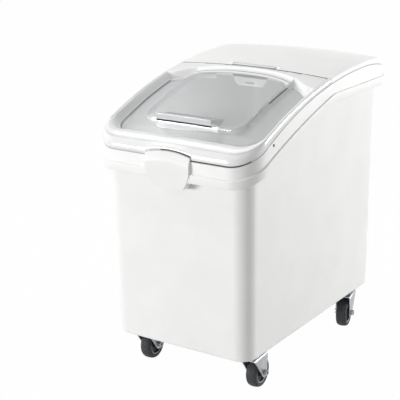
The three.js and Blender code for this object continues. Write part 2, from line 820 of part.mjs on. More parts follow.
// One caster. Places are taken from its kingpin, with the wheel trailing to +Y before it is turned.
function mountPlate(name) {
  const blank = slabZ(roundedRectangle(plateX, plateY, plateCorner), plateBottom, plateTop, 2);
  const cutters = screwPlaces().map(([u, v]) => {
    const hole = rod(screwRadius + seatGap, plateSheet + overrun, screwSteps).rotateX(quarter);
    return solid(hole.translate(u, v, plateBottom));
  });
  const centre = rod(kingpinRadius + seatGap, plateSheet + overrun, kingpinSteps).rotateX(quarter);
  cutters.push(solid(centre.translate(0, 0, plateBottom)));
  const drilled = cutters.reduce((plate, cutter) => plate.subtract(cutter), blank);
  return piece(`${name}_mount_plate`, drilled, 'zincSteel');
}

function screw(name, number, u, v) {
  const under = plateBottom - seatGap;
  const profile = [
    [0, under - screwHeadHeight], [screwHead, under - screwHeadHeight], [screwHead, under],
    [screwRadius, under], [screwRadius, tubBase + screwLength], [0, tubBase + screwLength],
  ];
  return piece(`${name}_screw_${number}`, turned(profile, screwSteps).translate(u, v, 0), 'zincSteel');
}

function kingpin(name) {
  const head = crownUnder - seatGap;
  const profile = [
    [0, head - kingpinHeadHeight], [kingpinHead - forkSheet, head - kingpinHeadHeight],
    [kingpinHead, head], [kingpinRadius, head],
    [kingpinRadius, plateTop], [0, plateTop],
  ];
  return piece(`${name}_kingpin`, turned(profile, kingpinSteps), 'zincSteel');
}

function ballRace(name) {
  const bore = kingpinRadius + seatGap;
  const profile = [
    [bore, raceBottom], [raceWaist, raceBottom], [raceRadius, raceBottom + raceHeight / 3],
    [raceRadius, raceTop], [bore, raceTop], [bore, raceBottom],
  ];
  return piece(`${name}_ball_race`, turned(profile, raceSteps), 'zincSteel');
}

function fork(name) {
  const outer = forkInnerHalf + forkSheet;
  const low = wheelRadius - forkBoss - overrun;
  const channel = new THREE.Shape();
  channel.moveTo(forkInnerHalf, low);
  channel.lineTo(outer, low);
  channel.absarc(outer - forkBend, crownTop - forkBend, forkBend, 0, quarter);
  channel.absarc(forkBend - outer, crownTop - forkBend, forkBend, quarter, 2 * quarter);
  channel.lineTo(-outer, low);
  channel.lineTo(-forkInnerHalf, low);
  const bend = forkBend - forkSheet;
  channel.absarc(bend - forkInnerHalf, crownUnder - bend, bend, 2 * quarter, quarter, true);
  channel.absarc(forkInnerHalf - bend, crownUnder - bend, bend, quarter, 0, true);
  const cheek = new THREE.Shape();
  cheek.moveTo(-forkFront, crownTop + overrun);
  cheek.lineTo(-forkFront, crownUnder);
  cheek.lineTo(-forkShoulder, crownTop - crownSkirt);
  cheek.absarc(trail, wheelRadius, forkBoss, forkBossStart * quarter, 4 * quarter);
  cheek.lineTo(trail + forkBack, crownUnder - crownSkirt);
  cheek.lineTo(trail + forkBack, crownTop + overrun);
  const bent = slabY(channel, -forkFront - overrun, trail + forkBack + overrun, 2)
    .intersect(slabX(cheek, -outer - overrun, outer + overrun, 5));
  const pinHole = rod(kingpinRadius + seatGap, forkSheet + overrun, kingpinSteps).rotateX(quarter);
  const axleHole = rod(axleRadius + seatGap, 2 * outer + overrun, kingpinSteps).rotateZ(quarter);
  const drilled = bent.subtract(solid(pinHole.translate(0, 0, crownUnder + forkSheet / 2)))
    .subtract(solid(axleHole.translate(0, trail, wheelRadius)));
  return piece(`${name}_fork`, drilled, 'zincSteel');
}

// A revolve about the axle, from [radius, place along the axle] points
function wheelTurned(points, steps, start = 0) {
  return turned(points, steps, start).rotateY(quarter).translate(0, trail, wheelRadius);
}

function axle(name) {
  const near = -forkInnerHalf - forkSheet - seatGap;
  const far = -near + nutHeight - axleEnd / 2;
  const profile = [
    [0, near - axleHeadHeight], [axleHead - forkSheet / 2, near - axleHeadHeight],
    [axleHead, near], [axleRadius, near],
    [axleRadius, far], [0, far],
  ];
  return piece(`${name}_axle`, wheelTurned(profile, kingpinSteps), 'zincSteel');
}

function nut(name) {
  const near = forkInnerHalf + forkSheet + seatGap;
  const hexagon = new THREE.Shape();
  for (let i = 0; i < hexSteps; i++) {
    const turn = i / hexSteps * 4 * quarter;
    hexagon[i ? 'lineTo' : 'moveTo'](nutRadius * Math.cos(turn), nutRadius * Math.sin(turn));
  }
  hexagon.closePath();
  hexagon.holes.push(new THREE.Path().absarc(0, 0, axleRadius + seatGap, 0, 4 * quarter));
  const blank = drawn(hexagon, 0, nutHeight, hexSteps - 1);
  blank.rotateY(quarter).translate(near, trail, wheelRadius);
  return piece(`${name}_axle_nut`, solid(blank), 'zincSteel');
}

function sleeve(name) {
  const half = forkInnerHalf - seatGap;
  const [bore, outer] = [axleRadius + seatGap, axleRadius + seatGap + sleeveWall];
  const profile = [[bore, -half], [outer, -half], [outer, half], [bore, half], [bore, -half]];
  return piece(`${name}_axle_sleeve`, wheelTurned(profile, kingpinSteps), 'zincSteel');
}

function hub(name) {
  const bore = axleRadius + sleeveWall + 2 * seatGap;
  const rim = hubRadius - hubRim;
  const half = [
    [hubBoss, -hubBossHalfWidth], [hubBoss, -hubWeb], [rim, -hubWeb], [rim, -hubHalfWidth],
    [hubRadius, -hubHalfWidth],
  ];
  const other = half.map(([radius, place]) => [radius, -place]).reverse();
  const profile = [[bore, -hubBossHalfWidth], ...half, ...other, [bore, hubBossHalfWidth]];
  return piece(`${name}_hub`, wheelTurned([...profile, profile[0]], hubSteps), 'hubPlastic');
}

// The tread's flats touch the floor, so its edges stand out a little past the wheel's radius
function tyre(name) {
  const halfStep = 2 * quarter / tyreSteps;
  const tread = wheelRadius / Math.cos(halfStep);
  const bore = hubRadius + seatGap;
  const profile = [
    [bore, -tyreHalfWidth], [tread - tyreShoulder, -tyreHalfWidth],
    [tread - tyreCrown, tyreShoulder - tyreHalfWidth], [tread, 0],
    [tread - tyreCrown, tyreHalfWidth - tyreShoulder], [tread - tyreShoulder, tyreHalfWidth],
    [bore, tyreHalfWidth], [bore, -tyreHalfWidth],
  ];
  return piece(`${name}_tyre`, wheelTurned(profile, tyreSteps, halfStep), 'tyreRubber');
}

function caster(corner) {
  const group = new THREE.Group();
  const swivel = new THREE.Group();
  const { name } = corner;
  group.position.copy(casterPlace(corner));
  swivel.rotation.z = THREE.MathUtils.degToRad(corner.turn);
  group.add(mountPlate(name), ballRace(name), kingpin(name));
  screwPlaces().forEach(([u, v], i) => group.add(screw(name, i + 1, u, v)));
  swivel.add(fork(name), sleeve(name), hub(name), tyre(name));
  // The bolt goes in from the middle of the bin on all four, so the turned-round rear ones get it reversed
  const fastening = new THREE.Group().add(axle(name), nut(name));
  if (corner.end > 0) {
    fastening.rotation.z = 2 * quarter;
    fastening.position.y = 2 * trail;
  }
  group.add(swivel.add(fastening));
  return group;
}

// Scoop: a bowl cut off slantwise, with a channelled handle, lying along Y with its tip to the front
function scoopBlock(inset) {
  const half = scoopWidth / 2 - inset;
  const section = new THREE.Shape();
  const corner = scoopCorner - inset;
  section.moveTo(half, scoopHeight + overrun);
  section.lineTo(-half, scoopHeight + overrun);
  section.absarc(corner - half, inset + corner, corner, 2 * quarter, 3 * quarter);
  section.absarc(half - corner, inset + corner, corner, 3 * quarter, 4 * quarter);
  const back = scoopLength - inset;
  const backSlope = 0.75 * scoopBackLean / (scoopHeight - scoopHeel);
  const lift = inset > 0 ? overrun : 0;
  const side = new THREE.Shape();
  side.moveTo(-lift, 0);
  side.lineTo(back - scoopHeel, 0);
  side.quadraticCurveTo(back, 0, back - scoopBackLean / 4, scoopHeel);
  side.lineTo(back - scoopBackLean - lift * backSlope, scoopHeight + lift);
  side.lineTo(scoopMouthRun + scoopHeel - 2 * lift, scoopMouthHeight + 2 * lift);
  side.quadraticCurveTo(scoopMouthRun - 2 * lift, scoopMouthHeight + lift, -lift, 0);
  return slabY(section, 0, scoopLength, 4).intersect(slabX(side, -half, half, 4));
}

function scoop() {
  const root = scoopLength - scoopBackLean;
  const half = handleWidth / 2;
  const channel = shapeOf([
    [-half, -handleDepth], [-half, -scoopWall], [scoopWall - half, 0], [half - scoopWall, 0],
    [half, -scoopWall], [half, -handleDepth], [half - scoopWall, -handleDepth],
    [half - scoopWall, -scoopWall], [scoopWall - half, -scoopWall], [scoopWall - half, -handleDepth],
  ]);
  const tilt = Math.atan2(handleRise, handleLength);
  const handle = slabY(channel, 0, handleLength).rotate([THREE.MathUtils.radToDeg(tilt), 0, 0])
    .translate(0, root - scoopWall / 2, scoopHeight - scoopWall);
  const rest = shapeOf([
    [root, scoopHeight - scoopWall], [root - thumbRun, scoopHeight + thumbRise],
    [root - thumbRun, scoopHeight + thumbRise - scoopWall], [root - scoopWall, scoopHeight - 2 * scoopWall],
  ]);
  const thumb = slabX(rest, -thumbHalfWidth, thumbHalfWidth);
  const bowl = scoopBlock(0).add(handle).subtract(scoopBlock(scoopWall)).add(thumb);
  const body = bowl.translate(0, scoopFront, tubBase + tubFloor + seatGap);
  return piece('scoop', body, 'clearPlastic');
}

const riceBin = new THREE.Group();
riceBin.add(binBody(), rearCover(), hingePin(), frontLid(), scoop(), ...corners.map(caster));

// The grip reaches further than the rear rim, so the whole is moved back by half of the difference
const extent = new THREE.Box3().setFromObject(riceBin);
riceBin.position.y = -(extent.min.y + extent.max.y) / 2;

export default riceBin;
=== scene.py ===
import math

import bmesh
import bpy
from mathutils import Matrix, Vector


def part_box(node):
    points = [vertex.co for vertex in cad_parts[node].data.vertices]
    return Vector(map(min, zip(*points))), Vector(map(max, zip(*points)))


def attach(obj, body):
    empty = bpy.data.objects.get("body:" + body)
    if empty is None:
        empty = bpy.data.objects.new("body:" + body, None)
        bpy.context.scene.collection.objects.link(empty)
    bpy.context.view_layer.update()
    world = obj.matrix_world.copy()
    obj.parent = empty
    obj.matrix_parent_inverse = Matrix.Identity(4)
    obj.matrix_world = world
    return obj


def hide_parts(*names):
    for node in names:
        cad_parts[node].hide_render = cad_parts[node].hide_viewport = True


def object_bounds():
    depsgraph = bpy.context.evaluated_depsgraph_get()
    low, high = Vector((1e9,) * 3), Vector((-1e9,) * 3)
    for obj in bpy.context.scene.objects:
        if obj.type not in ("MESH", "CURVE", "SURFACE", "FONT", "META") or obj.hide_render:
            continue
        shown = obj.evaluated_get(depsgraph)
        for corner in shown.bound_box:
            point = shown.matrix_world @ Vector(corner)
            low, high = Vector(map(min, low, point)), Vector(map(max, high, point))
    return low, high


bl_info = {
    "name": "Rice bin with flip lid",
    "version": (1, 0, 0),
    "blender": (4, 5, 0),
    "location": "3D View > Sidebar > Rice bin",
    "description": "Makes the visible surfaces of a rice bin: tub, rear cover, clear lid, scoop and casters",
    "category": "Add Mesh",
}

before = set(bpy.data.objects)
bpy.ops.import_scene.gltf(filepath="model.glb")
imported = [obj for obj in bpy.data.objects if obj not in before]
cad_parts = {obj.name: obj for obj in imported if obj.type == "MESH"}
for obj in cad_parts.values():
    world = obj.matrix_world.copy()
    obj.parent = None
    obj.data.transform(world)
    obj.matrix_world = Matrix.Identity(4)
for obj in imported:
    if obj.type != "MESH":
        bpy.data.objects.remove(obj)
cad_box = [list(corner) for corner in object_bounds()]

# Lengths are in mm, unless a comment says otherwise, in the tub's own frame: the origin is on the floor
# under its middle and -Y is the front.
MM = 0.001
QUARTER = math.pi / 2
WELD, LATHE_WELD, CAD_WELD, LID_WELD, NEAR = 0.01, 0.0005, 0.002, 0.02, 0.05
# Surface patterns
MOTTLE, GLOSS, GRAIN, CLEAR_GLOSS, SPANGLE, SHEEN, FINE_SCUFF = 90, 35, 2.5, 60, 6, 4, 0.8

# Tub and its side profile
TUB_BASE = 101.9
HALF_WIDTH = 187.5
HALF_LENGTH = 312
TUB_CORNER = 37.5
TUB_DRAFT = 0.009
TUB_WALL = 3.5
TUB_FLOOR = 5
FOOT_FILLET = 8
INNER_FILLET = 14
CREST_TOP = TUB_BASE + 611
CREST_RADIUS = 1160
CREST_Y = 197
DROOP_SETBACK = 112
DROOP_RUN = 138
REAR_DROOP = 16
FRONT_CROWN = 3
HINGE_CROWN = 8
HINGE_Y = 15
HINGE_SLIT = 0.6
SEAM_DROP = 14
SEAM_EXTRA_DROP = 10
SEAM_TURN_SETBACK = 35

# Rim
RIM_LINE = 20
FRONT_REACH = 4
LIP_IN = 9.5
LIP_OUT = 13
LIP_RISE = 6
LEDGE_OUT = 17.5
UPPER_TIER = 18.5
LOWER_TIER = 23
TIER_STEP = 21
SKIRT_WALL = 3.5
DECK_DROP = 8
RIM_FRONT_DROP = 48
RIM_KNEE_DROP = 60
KNEE_Y = 30
RIM_BOW = 10
# Roundings of the rim, from under its deck, out over the skirt and in to the tub's wall
RIM_ROUNDS = (1.5, 2, 1.2, 2, 0.8, 1.8, 3.2, 1.2, 2.2, 0.6, 1.2, 1.2, 0.8, 1.2)
# Caster pads, and the snap studs as (radius, place, rounding)
PAD_SIZE = (62, 90, 8.2)
PAD_MIDDLE = 3.9
PAD_EASE = 3
STUD = ((0.01, -2, 0), (3, -2, 0), (3, 1, 0.8), (0.01, 1.6, 0))
STUD_Y = -243
STUD_DROP = 10

# Grip
GRIP_HALF = 59
GRIP_HEIGHT = 84
GRIP_PROUD = 3.6
GRIP_TAPER = 5
GRIP_SLOPE = 26
GRIP_SHOULDER = 10
GRIP_ARCH = 10
GRIP_CROWN = 8.4
GRIP_CREASE_DROP = 4
GRIP_TOP_GAP = 1.5
GRIP_BULGE = 1.3
GRIP_WALL = 3.5
GRIP_EASE = 1.6
# Shares of the grip's height at which its close rows end and its wide ones start
GRIP_ROWS = (0.12, 0.16)
# Share of the grip's half width at each share of its height
GRIP_SHARES = ((0.5, 0), (0.62, 0.02), (0.74, 0.09), (0.86, 0.25), (0.97, 0.46), (1, 0.6), (1, 1))

# Lid
LID_WALL = 2.5
RAIL_INSET = 6.5
NOSE_INSET = 32.5
RAIL_CORNER = 48
FOOT_INSET = 24
FOOT_FRONT_INSET = 52.5
FOOT_CORNER = 38
SKIRT_RISE = 6
SKIRT_GAP = 0.9
# Height of the skirt's lowest strip, painted as the seam's shade: near-black at the front, pale grey
# elsewhere
SKIRT_LINE = 2.4
MOAT_DEPTH = 18
RAMP_NEAR = 17
RAMP_FAR = 75
RAMP_POWER = 2.6
RAMP_WALL = 11
PANEL_HALF = 135
PANEL_SETBACK = 87.6
PANEL_CORNER = 28
PANEL_DROP = 4
PANEL_WALL_RUN = 4
ARCH_HALF = 60
ARCH_RISE = 17
ARCH_ENDS = 9
ARCH_GAP = 0.004
PULL_HALF = 73.5
PULL_OVERHANG = 26
PULL_HEIGHT = 18
PULL_WALL = 2.2
PULL_ROUND = 3
PULL_EASE = 0.9
# Faces of the pull more than this far ahead of the panel's edge are painted a nearly opaque pale grey as
# light
PULL_FACE = 10
# Lower corner of the pull's cheek: behind the panel's edge, and below the lid where its height is read
PULL_TOE_RUN = 1
PULL_TOE_READ = 6
PULL_TOE_DROP = 3
PULL_LEAN = 4
PULL_RUN = 25
PULL_FOOT = 2.4
# Height of the pull lip's lowest strip, painted near-black as the shade under the lip
PULL_LINE = 4.2
# Distances from the hinge line between which a dark grey line is painted on the panel's right edge, and up to
# which a pale grey one is painted
DARK_EDGE = (66, 150)
FAINT_EDGE = 215
# How far across the arch line is painted grey, and how deep behind the hinge line the lid is painted
# near-black as the shade in the slit
ARCH_LINE_END = 128
HINGE_LINE = 4
# A thin raised strip in front of the pull, coloured white as a painted highlight: its depth, shift to the
# left, wall, rise, fade and tail
CRESCENT = 11
CRESCENT_SHIFT = 20
CRESCENT_WALL = 1
CRESCENT_PROUD = 0.9
CRESCENT_FADE = 4
CRESCENT_TAIL = 0.4
# Painted lines: grey on the panel's arched border in mm and on the ramp as shares, and a white painted
# highlight on the panel's front wall as shares
ARCH_LINE = (9, 11.5)
RAMP_LINE = (0.57, 0.71)
WALL_LINE = (0.6, 0.8)
# How far the painted highlight runs up the panel's left front corner, and how far onto the panel the border
# behind the arch is painted pale
CORNER_LINE = 4
ARCH_BORDER = 21
# Strips of faces counted in from the lid's skirt, by which its painted grey lines and white highlights are
# placed
OUTER_LINE = (5, 9)
ROLL_LINE, ROLL_END, FLANK_END, WALL_MIDDLE = 6, 11, 18, 26
# Zones of the clear lid. All but clear are painted light: rail, border and flank paint the white and pale
# grey highlights that refraction gathers in the thick clear plastic, line paints grey refraction lines, and
# edge paints near-black shade in the seams, the hinge slit and under the pull's lip.
ZONES = ("clear", "rail", "border", "flank", "line", "edge")
FOLLOW_FADE = 95
LEAST_ROW = 1.5
ARCH_REACH = 14
TONGUE_HALF = 58
TONGUE_RUN = 16
TONGUE_PROUD = 1
TONGUE_ROOT = 4
TONGUE_EASE = 0.5
TONGUE_NOSE = 1.5
TONGUE_LEAD = 0.5
TONGUE_SINK = 1.2
HINGE_SETBACK = 10
HINGE_DROP = 3
BARREL_RADIUS = 4.5
PIN_BORE = 2.3
BOSS_RADIUS = 5
BOSS_HALF = 5
BOSS_ROUND = 0.5

# Rear cover
COVER_WALL = 2.5
COVER_EASE = 0.7
REAR_INSET = 50
COVER_CORNER = 52
LEDGE_DROP = 8
LEDGE_HALF = 184
LEDGE_FRONT = 14
LEDGE_BACK = 1.2
LEDGE_TOP = 1.5
LEDGE_ROUNDS = (2, 2.5)
HOOK_DROP = 43
HOOK_HALF = 43
HOOK_FLARE = 7
HOOK_LAP = 6
HOOK_SHOULDER = 12
HOOK_ROUNDS = (6, 4, 1)
STRIP_LAP = 4
STRIP_ROUND = 3
STRIP_DROP = 33
NOTCH_DROP = 22
NOTCH_FAR = 96
SLOT_HALF = 13
SLOT_HALF_HEIGHT = 3
SLOT_DROP = 35
NOTCH_CLEARANCE = 2.3
NOTCH_RUN = 18

# Scoop
SCOOP_EASE = 0.5

# Casters
WHEEL_RADIUS = 38
TRAIL = 30
KINGPIN_X = 152
# Half profiles about the axle and the kingpin's race: (radius, place, rounding)
TYRE_HALF = ((27.3, -13.8, 0.3), (33.5, -13.8, 2.5), (36.6, -9.5, 2.5))
TREAD_ROUND = 6
HUB_HALF = ((6.6, -15.5, 0), (10.5, -15.5, 1), (10.5, -6, 1.5), (22.5, -5, 2), (23.5, -12.6, 1),
            (27, -13, 0.6))
# Radius and depth beyond which the hub's face shows its lighter grey ring
HUB_RING = (23.2, 12.2)
RACE = ((5.3, 86.8, 0), (16, 86.8, 0.8), (19, 90.8, 1.5), (19, 98.8, 1.5), (5.3, 98.8, 0))
# Eased steel pieces and the rounding of their edges
PRESSINGS = {"fork": 1.0, "mount_plate": 0.5, "axle_nut": 0.6}
# (name, side, kingpin's place along the bin, swivel angle in degrees)
CASTERS = (
    ("front_left", -1, -238, 5.0),
    ("front_right", 1, -238, 4.4),
    ("rear_left", -1, 246, 188.0),
    ("rear_right", 1, 246, 193.0),
)

# Camera fitted to the photo's edges: mm, shares of the frame and degrees
LENS = 101.32
SHIFT = (-0.1243, 0.0575)
AZIMUTH = 31.68
ELEVATION = 18.31
# Metres
DISTANCE = 2.792
TARGET_HEIGHT = 0.3178
FLOOR_HALF = 30

FRONT_READ = -HALF_LENGTH - RIM_LINE
LID_REAR = HINGE_Y - HINGE_SLIT / 2
COVER_FRONT = HINGE_Y + HINGE_SLIT / 2
STRAIGHT = HALF_LENGTH - TUB_CORNER
CROWN_HALF = HALF_WIDTH + LEDGE_OUT
PIN_Y = HINGE_Y + HINGE_SETBACK

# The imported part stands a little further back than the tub's own frame; its hinge pin shows by how much.
low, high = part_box("hinge_pin")
SET_BACK = (low.y + high.y) / 2 - PIN_Y * MM


def hex_colour(value):
    """An sRGB hex colour as linear red, green, blue and alpha."""
    parts = [int(value[i:i + 2], 16) / 255 for i in (1, 3, 5)]
    linear = [c / 12.92 if c <= 0.04045 else ((c + 0.055) / 1.055) ** 2.4 for c in parts]
    return (*linear, 1.0)


def mix(a, b, share):
    return a + (b - a) * share


def smooth(value):
    value = min(1, max(0, value))
    return value * value * (3 - 2 * value)


def steps(low, high, count):
    """Evenly spaced values from low to high, both included."""
    return [mix(low, high, i / count) for i in range(count + 1)]


# Heights of the bin's side profile


def rail(y):
    arc = CREST_TOP - CREST_RADIUS + math.sqrt(CREST_RADIUS ** 2 - (y - CREST_Y) ** 2)
    past = max(0, y - HALF_LENGTH + DROOP_SETBACK) / DROOP_RUN
    return arc - REAR_DROOP * past ** 2


def surface(x, y):
    """Top of the lid's border and of the cover, crowned across the bin."""
    share = min(1, max(0, (y - FRONT_READ) / (HINGE_Y - FRONT_READ)))
    return rail(y) + mix(FRONT_CROWN, HINGE_CROWN, share) * max(0, 1 - (x / CROWN_HALF) ** 2)


def on_surface(x, y, rise=0):
    return Vector((x, y, surface(x, y) + rise))


def seam(y):
    turn_y = HINGE_Y - SEAM_TURN_SETBACK
    share = max(0, turn_y - y) / (turn_y - FRONT_READ)
    return rail(y) - SEAM_DROP - SEAM_EXTRA_DROP * share ** 2


def rim_low(y):
    level = rail(KNEE_Y) - RIM_KNEE_DROP
    front = seam(FRONT_READ) - RIM_FRONT_DROP
    share = min(1, max(0, (y - FRONT_READ) / (KNEE_Y - FRONT_READ)))
    return mix(front, level, share) + 4 * RIM_BOW * share * (1 - share)


def ramp_run(x):
    across = min(1, abs(x) / (CROWN_HALF - FOOT_INSET))
    return RAMP_NEAR + (RAMP_FAR - RAMP_NEAR) * across ** RAMP_POWER


def moat_drop(x, y):
    return MOAT_DEPTH * smooth((LID_REAR - y - ramp_run(x) + RAMP_WALL) / RAMP_WALL)


def front_face(offset, z):
    """The tub's front wall, or a place that far out from it, at a height."""
    return -HALF_LENGTH - offset - FRONT_REACH - TUB_DRAFT * (z - TUB_BASE)


# Meshes


def outwards(bm):
    bmesh.ops.recalc_face_normals(bm, faces=bm.faces)


def weld(bm, gap):
    bmesh.ops.remove_doubles(bm, verts=bm.verts, dist=gap)


def thicken(bm, wall):
    """Gives a sheet its wall, inwards of its faces."""
    bmesh.ops.solidify(bm, geom=bm.faces[:], thickness=wall)


def rounded(corners, segments=4):
    """A line through (u, v, radius) corners with each corner rounded; a radius of 0 keeps it sharp."""
    line = []
    for i, (u, v, radius) in enumerate(corners):
        if radius == 0 or i in (0, len(corners) - 1):
            line.append((u, v))
            continue
        here = Vector((u, v))
        before = (Vector(corners[i - 1][:2]) - here).normalized() * radius
        after = (Vector(corners[i + 1][:2]) - here).normalized() * radius
        for t in steps(0, 1, segments):
            point = here + before * (1 - t) ** 2 + after * t ** 2
            line.append((point.x, point.y))
    return line


def mapped_grid(bm, rows, zone=None):
    """A grid whose points are carried to the given rows of places, with its faces up for rows that run to +Y.

    The zone function gives a face's zone on the lid from its row, its column and its middle.
    """
    high, wide = len(rows) - 1, len(rows[0]) - 1
    made = bmesh.ops.create_grid(bm, x_segments=wide, y_segments=high, size=0.5)["verts"]
    place = {v: (round((v.co.y + 0.5) * high), round((v.co.x + 0.5) * wide)) for v in made}
    for vert, (row, column) in place.items():
        vert.co = rows[row][column]
    bm.normal_update()
    if zone:
        for face in dict.fromkeys(f for v in made for f in v.link_faces):
            row, column = (min(place[v][i] for v in face.verts) for i in (0, 1))
            face.material_index = ZONES.index(zone(row, column, face.calc_center_median()))


def lathe(profile, segments, roundness=4):
    """A closed profile of (radius, place, rounding) corners spun about Z."""
    bm = bmesh.new()
    verts = [bm.verts.new((radius, 0, place)) for radius, place in rounded(profile, roundness)]
    edges = [bm.edges.new(pair) for pair in zip(verts, verts[1:] + verts[:1])]
    bmesh.ops.spin(bm, geom=verts + edges, axis=(0, 0, 1), cent=(0, 0, 0), angle=4 * QUARTER,
                   steps=segments, use_merge=True, use_duplicate=False)
    weld(bm, LATHE_WELD)
    outwards(bm)
    return bm


def opposite(half):
    """A half profile of (radius, place, rounding) mirrored to the other side, in the order that closes it."""
    return [(radius, -place, turn) for radius, place, turn in reversed(half)]


def round_edges(bm, edges, width, segments):
    bmesh.ops.bevel(bm, geom=edges, offset=width, segments=segments, profile=0.5, affect="EDGES",
                    material=-1, clamp_overlap=True)


def ease(bm, width, over, segments=2):
    """Rounds the edges whose two faces meet at over so many degrees."""
    bm.normal_update()
    limit = math.radians(over)
    edges = [e for e in bm.edges if e.is_manifold and e.calc_face_angle(0) > limit]
    round_edges(bm, edges, width, segments)


def only_verts(geom):
    return [item for item in geom if isinstance(item, bmesh.types.BMVert)]


def plate(outline, holes, depth):
    """A flat plate in the XZ plane from an outline and its holes, as thick as depth towards +Y."""
    bm = bmesh.new()
    for loop in (outline, *holes):
        verts = [bm.verts.new((x, 0, z)) for x, z in loop]
        for pair in zip(verts, verts[1:] + verts[:1]):
            bm.edges.new(pair)
    bmesh.ops.triangle_fill(bm, use_beauty=True, use_dissolve=True, edges=bm.edges)
    out = bmesh.ops.extrude_face_region(bm, geom=bm.faces[:])["geom"]
    bmesh.ops.translate(bm, vec=(0, depth, 0), verts=only_verts(out))
    outwards(bm)
    return bm


def join(bm, other):
    """Adds the other bmesh to this one and frees it."""
    holder = bpy.data.meshes.new("holder")
    other.to_mesh(holder)
    other.free()
    bm.from_mesh(holder)
    bpy.data.meshes.remove(holder)


def add_object(name, data):
    made = bpy.data.objects.new(name, data)
    bpy.context.scene.collection.objects.link(made)
    return made


def add_piece(bm, name, body, nodes, materials, angle=32, matrix=None):
    """Makes the finished object: in metres, in the part's frame, riding on its body."""
    if matrix is not None:
        bmesh.ops.transform(bm, matrix=matrix, verts=bm.verts)
    bmesh.ops.scale(bm, vec=(MM, MM, MM), verts=bm.verts)
    bmesh.ops.translate(bm, vec=(0, SET_BACK, 0), verts=bm.verts)
    for vert in bm.verts:
        vert.co = [min(max(c, lo), hi) for c, lo, hi in zip(vert.co, *cad_box)]
    mesh = bpy.data.meshes.new(name)
    bm.to_mesh(mesh)
    bm.free()
    mesh.shade_smooth()
    mesh.set_sharp_from_angle(angle=math.radians(angle))
    for material in materials:
        mesh.materials.append(bpy.data.materials[material])
    piece = add_object(name, mesh)
    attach(piece, body)
    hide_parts(*nodes)


def cad_copy(node):
    """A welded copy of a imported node, in mm in the tub's own frame."""
    bm = bmesh.new()
    bm.from_mesh(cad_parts[node].data)
    bmesh.ops.translate(bm, vec=(0, -SET_BACK, 0), verts=bm.verts)
    bmesh.ops.scale(bm, vec=(1 / MM,) * 3, verts=bm.verts)
    weld(bm, CAD_WELD)
    bmesh.ops.dissolve_limit(bm, angle_limit=math.radians(1), verts=bm.verts, edges=bm.edges)
    return bm


# Tub


def corner_station(end, turn):
    nx, ny = math.cos(turn), end * math.sin(turn)
    return HALF_WIDTH - TUB_CORNER + TUB_CORNER * nx, end * STRAIGHT + TUB_CORNER * ny, nx, ny


def outward(station, offset, z):
    x, y, nx, ny = station
    reach = FRONT_REACH * max(0, -ny) ** 2 if offset > 0 else 0
    out = offset + reach + TUB_DRAFT * (z - TUB_BASE)
    return Vector((x + nx * out, y + ny * out, z))


def tub_outline(corner_steps, side_steps):
    right = [corner_station(-1, turn) for turn in steps(QUARTER, 0, corner_steps)]
    right += [(HALF_WIDTH, y, 1, 0) for y in steps(-STRAIGHT, STRAIGHT, side_steps)[1:-1]]
    right += [corner_station(1, turn) for turn in steps(0, QUARTER, corner_steps)]
    left = [(-x, y, -nx, ny) for x, y, nx, ny in reversed(right)]
    return right + left


def tub_section(station):
    """Wall and stepped rim at one station, from the underside over the rim to the floor inside."""
    y = station[1] + station[3] * RIM_LINE
    seat, low = seam(y), rim_low(y)
    deck, step = seat - DECK_DROP, low + TIER_STEP
    upper_in, lower_in = UPPER_TIER - SKIRT_WALL, LOWER_TIER - SKIRT_WALL
    under_deck, under_step = deck - TUB_WALL, step - SKIRT_WALL
    floor = TUB_BASE + TUB_FLOOR
    corners = (
        (0, under_deck), (upper_in, under_deck), (upper_in, under_step), (lower_in, under_step),
        (lower_in, low), (LOWER_TIER, low), (LOWER_TIER, step), (UPPER_TIER, step),
        (UPPER_TIER, seat), (LIP_OUT, seat), (LIP_OUT, seat + LIP_RISE), (LIP_IN, seat + LIP_RISE),
        (LIP_IN, deck), (-TUB_WALL, deck))
    rim = [(*corner, radius) for corner, radius in zip(corners, RIM_ROUNDS)]
    line = rounded([
        (-2 * FOOT_FILLET, TUB_BASE, 0), (0, TUB_BASE, FOOT_FILLET), *rim,
        (-TUB_WALL, floor, INNER_FILLET), (-TUB_WALL - 2 * INNER_FILLET, floor, 0)])
    return [outward(station, offset, z) for offset, z in line]


def tub_shell():
    bm = bmesh.new()
    number = bm.verts.layers.int.new("station")
    outline = tub_outline(14, 72)
    sections = [tub_section(station) for station in outline]
    verts = [bm.verts.new(section[0]) for section in sections]
    for i, vert in enumerate(verts):
        vert[number] = i
    ring = [bm.edges.new(pair) for pair in zip(verts, verts[1:] + verts[:1])]
    bmesh.ops.contextual_create(bm, geom=ring)
    for step in range(1, len(sections[0])):
        out = bmesh.ops.extrude_edge_only(bm, edges=ring)["geom"]
        ring = [e for e in out if isinstance(e, bmesh.types.BMEdge) and e.is_boundary]
        for vert in only_verts(out):
            vert.co = sections[vert[number]][step]
    bmesh.ops.contextual_create(bm, geom=ring)
    outwards(bm)
    return bm


def grip_half(share):
    for (near, low), (far, high) in zip(GRIP_SHARES, GRIP_SHARES[1:]):
        if share <= high:
            return GRIP_HALF * mix(near, far, (share - low) / (high - low))
    return GRIP_HALF


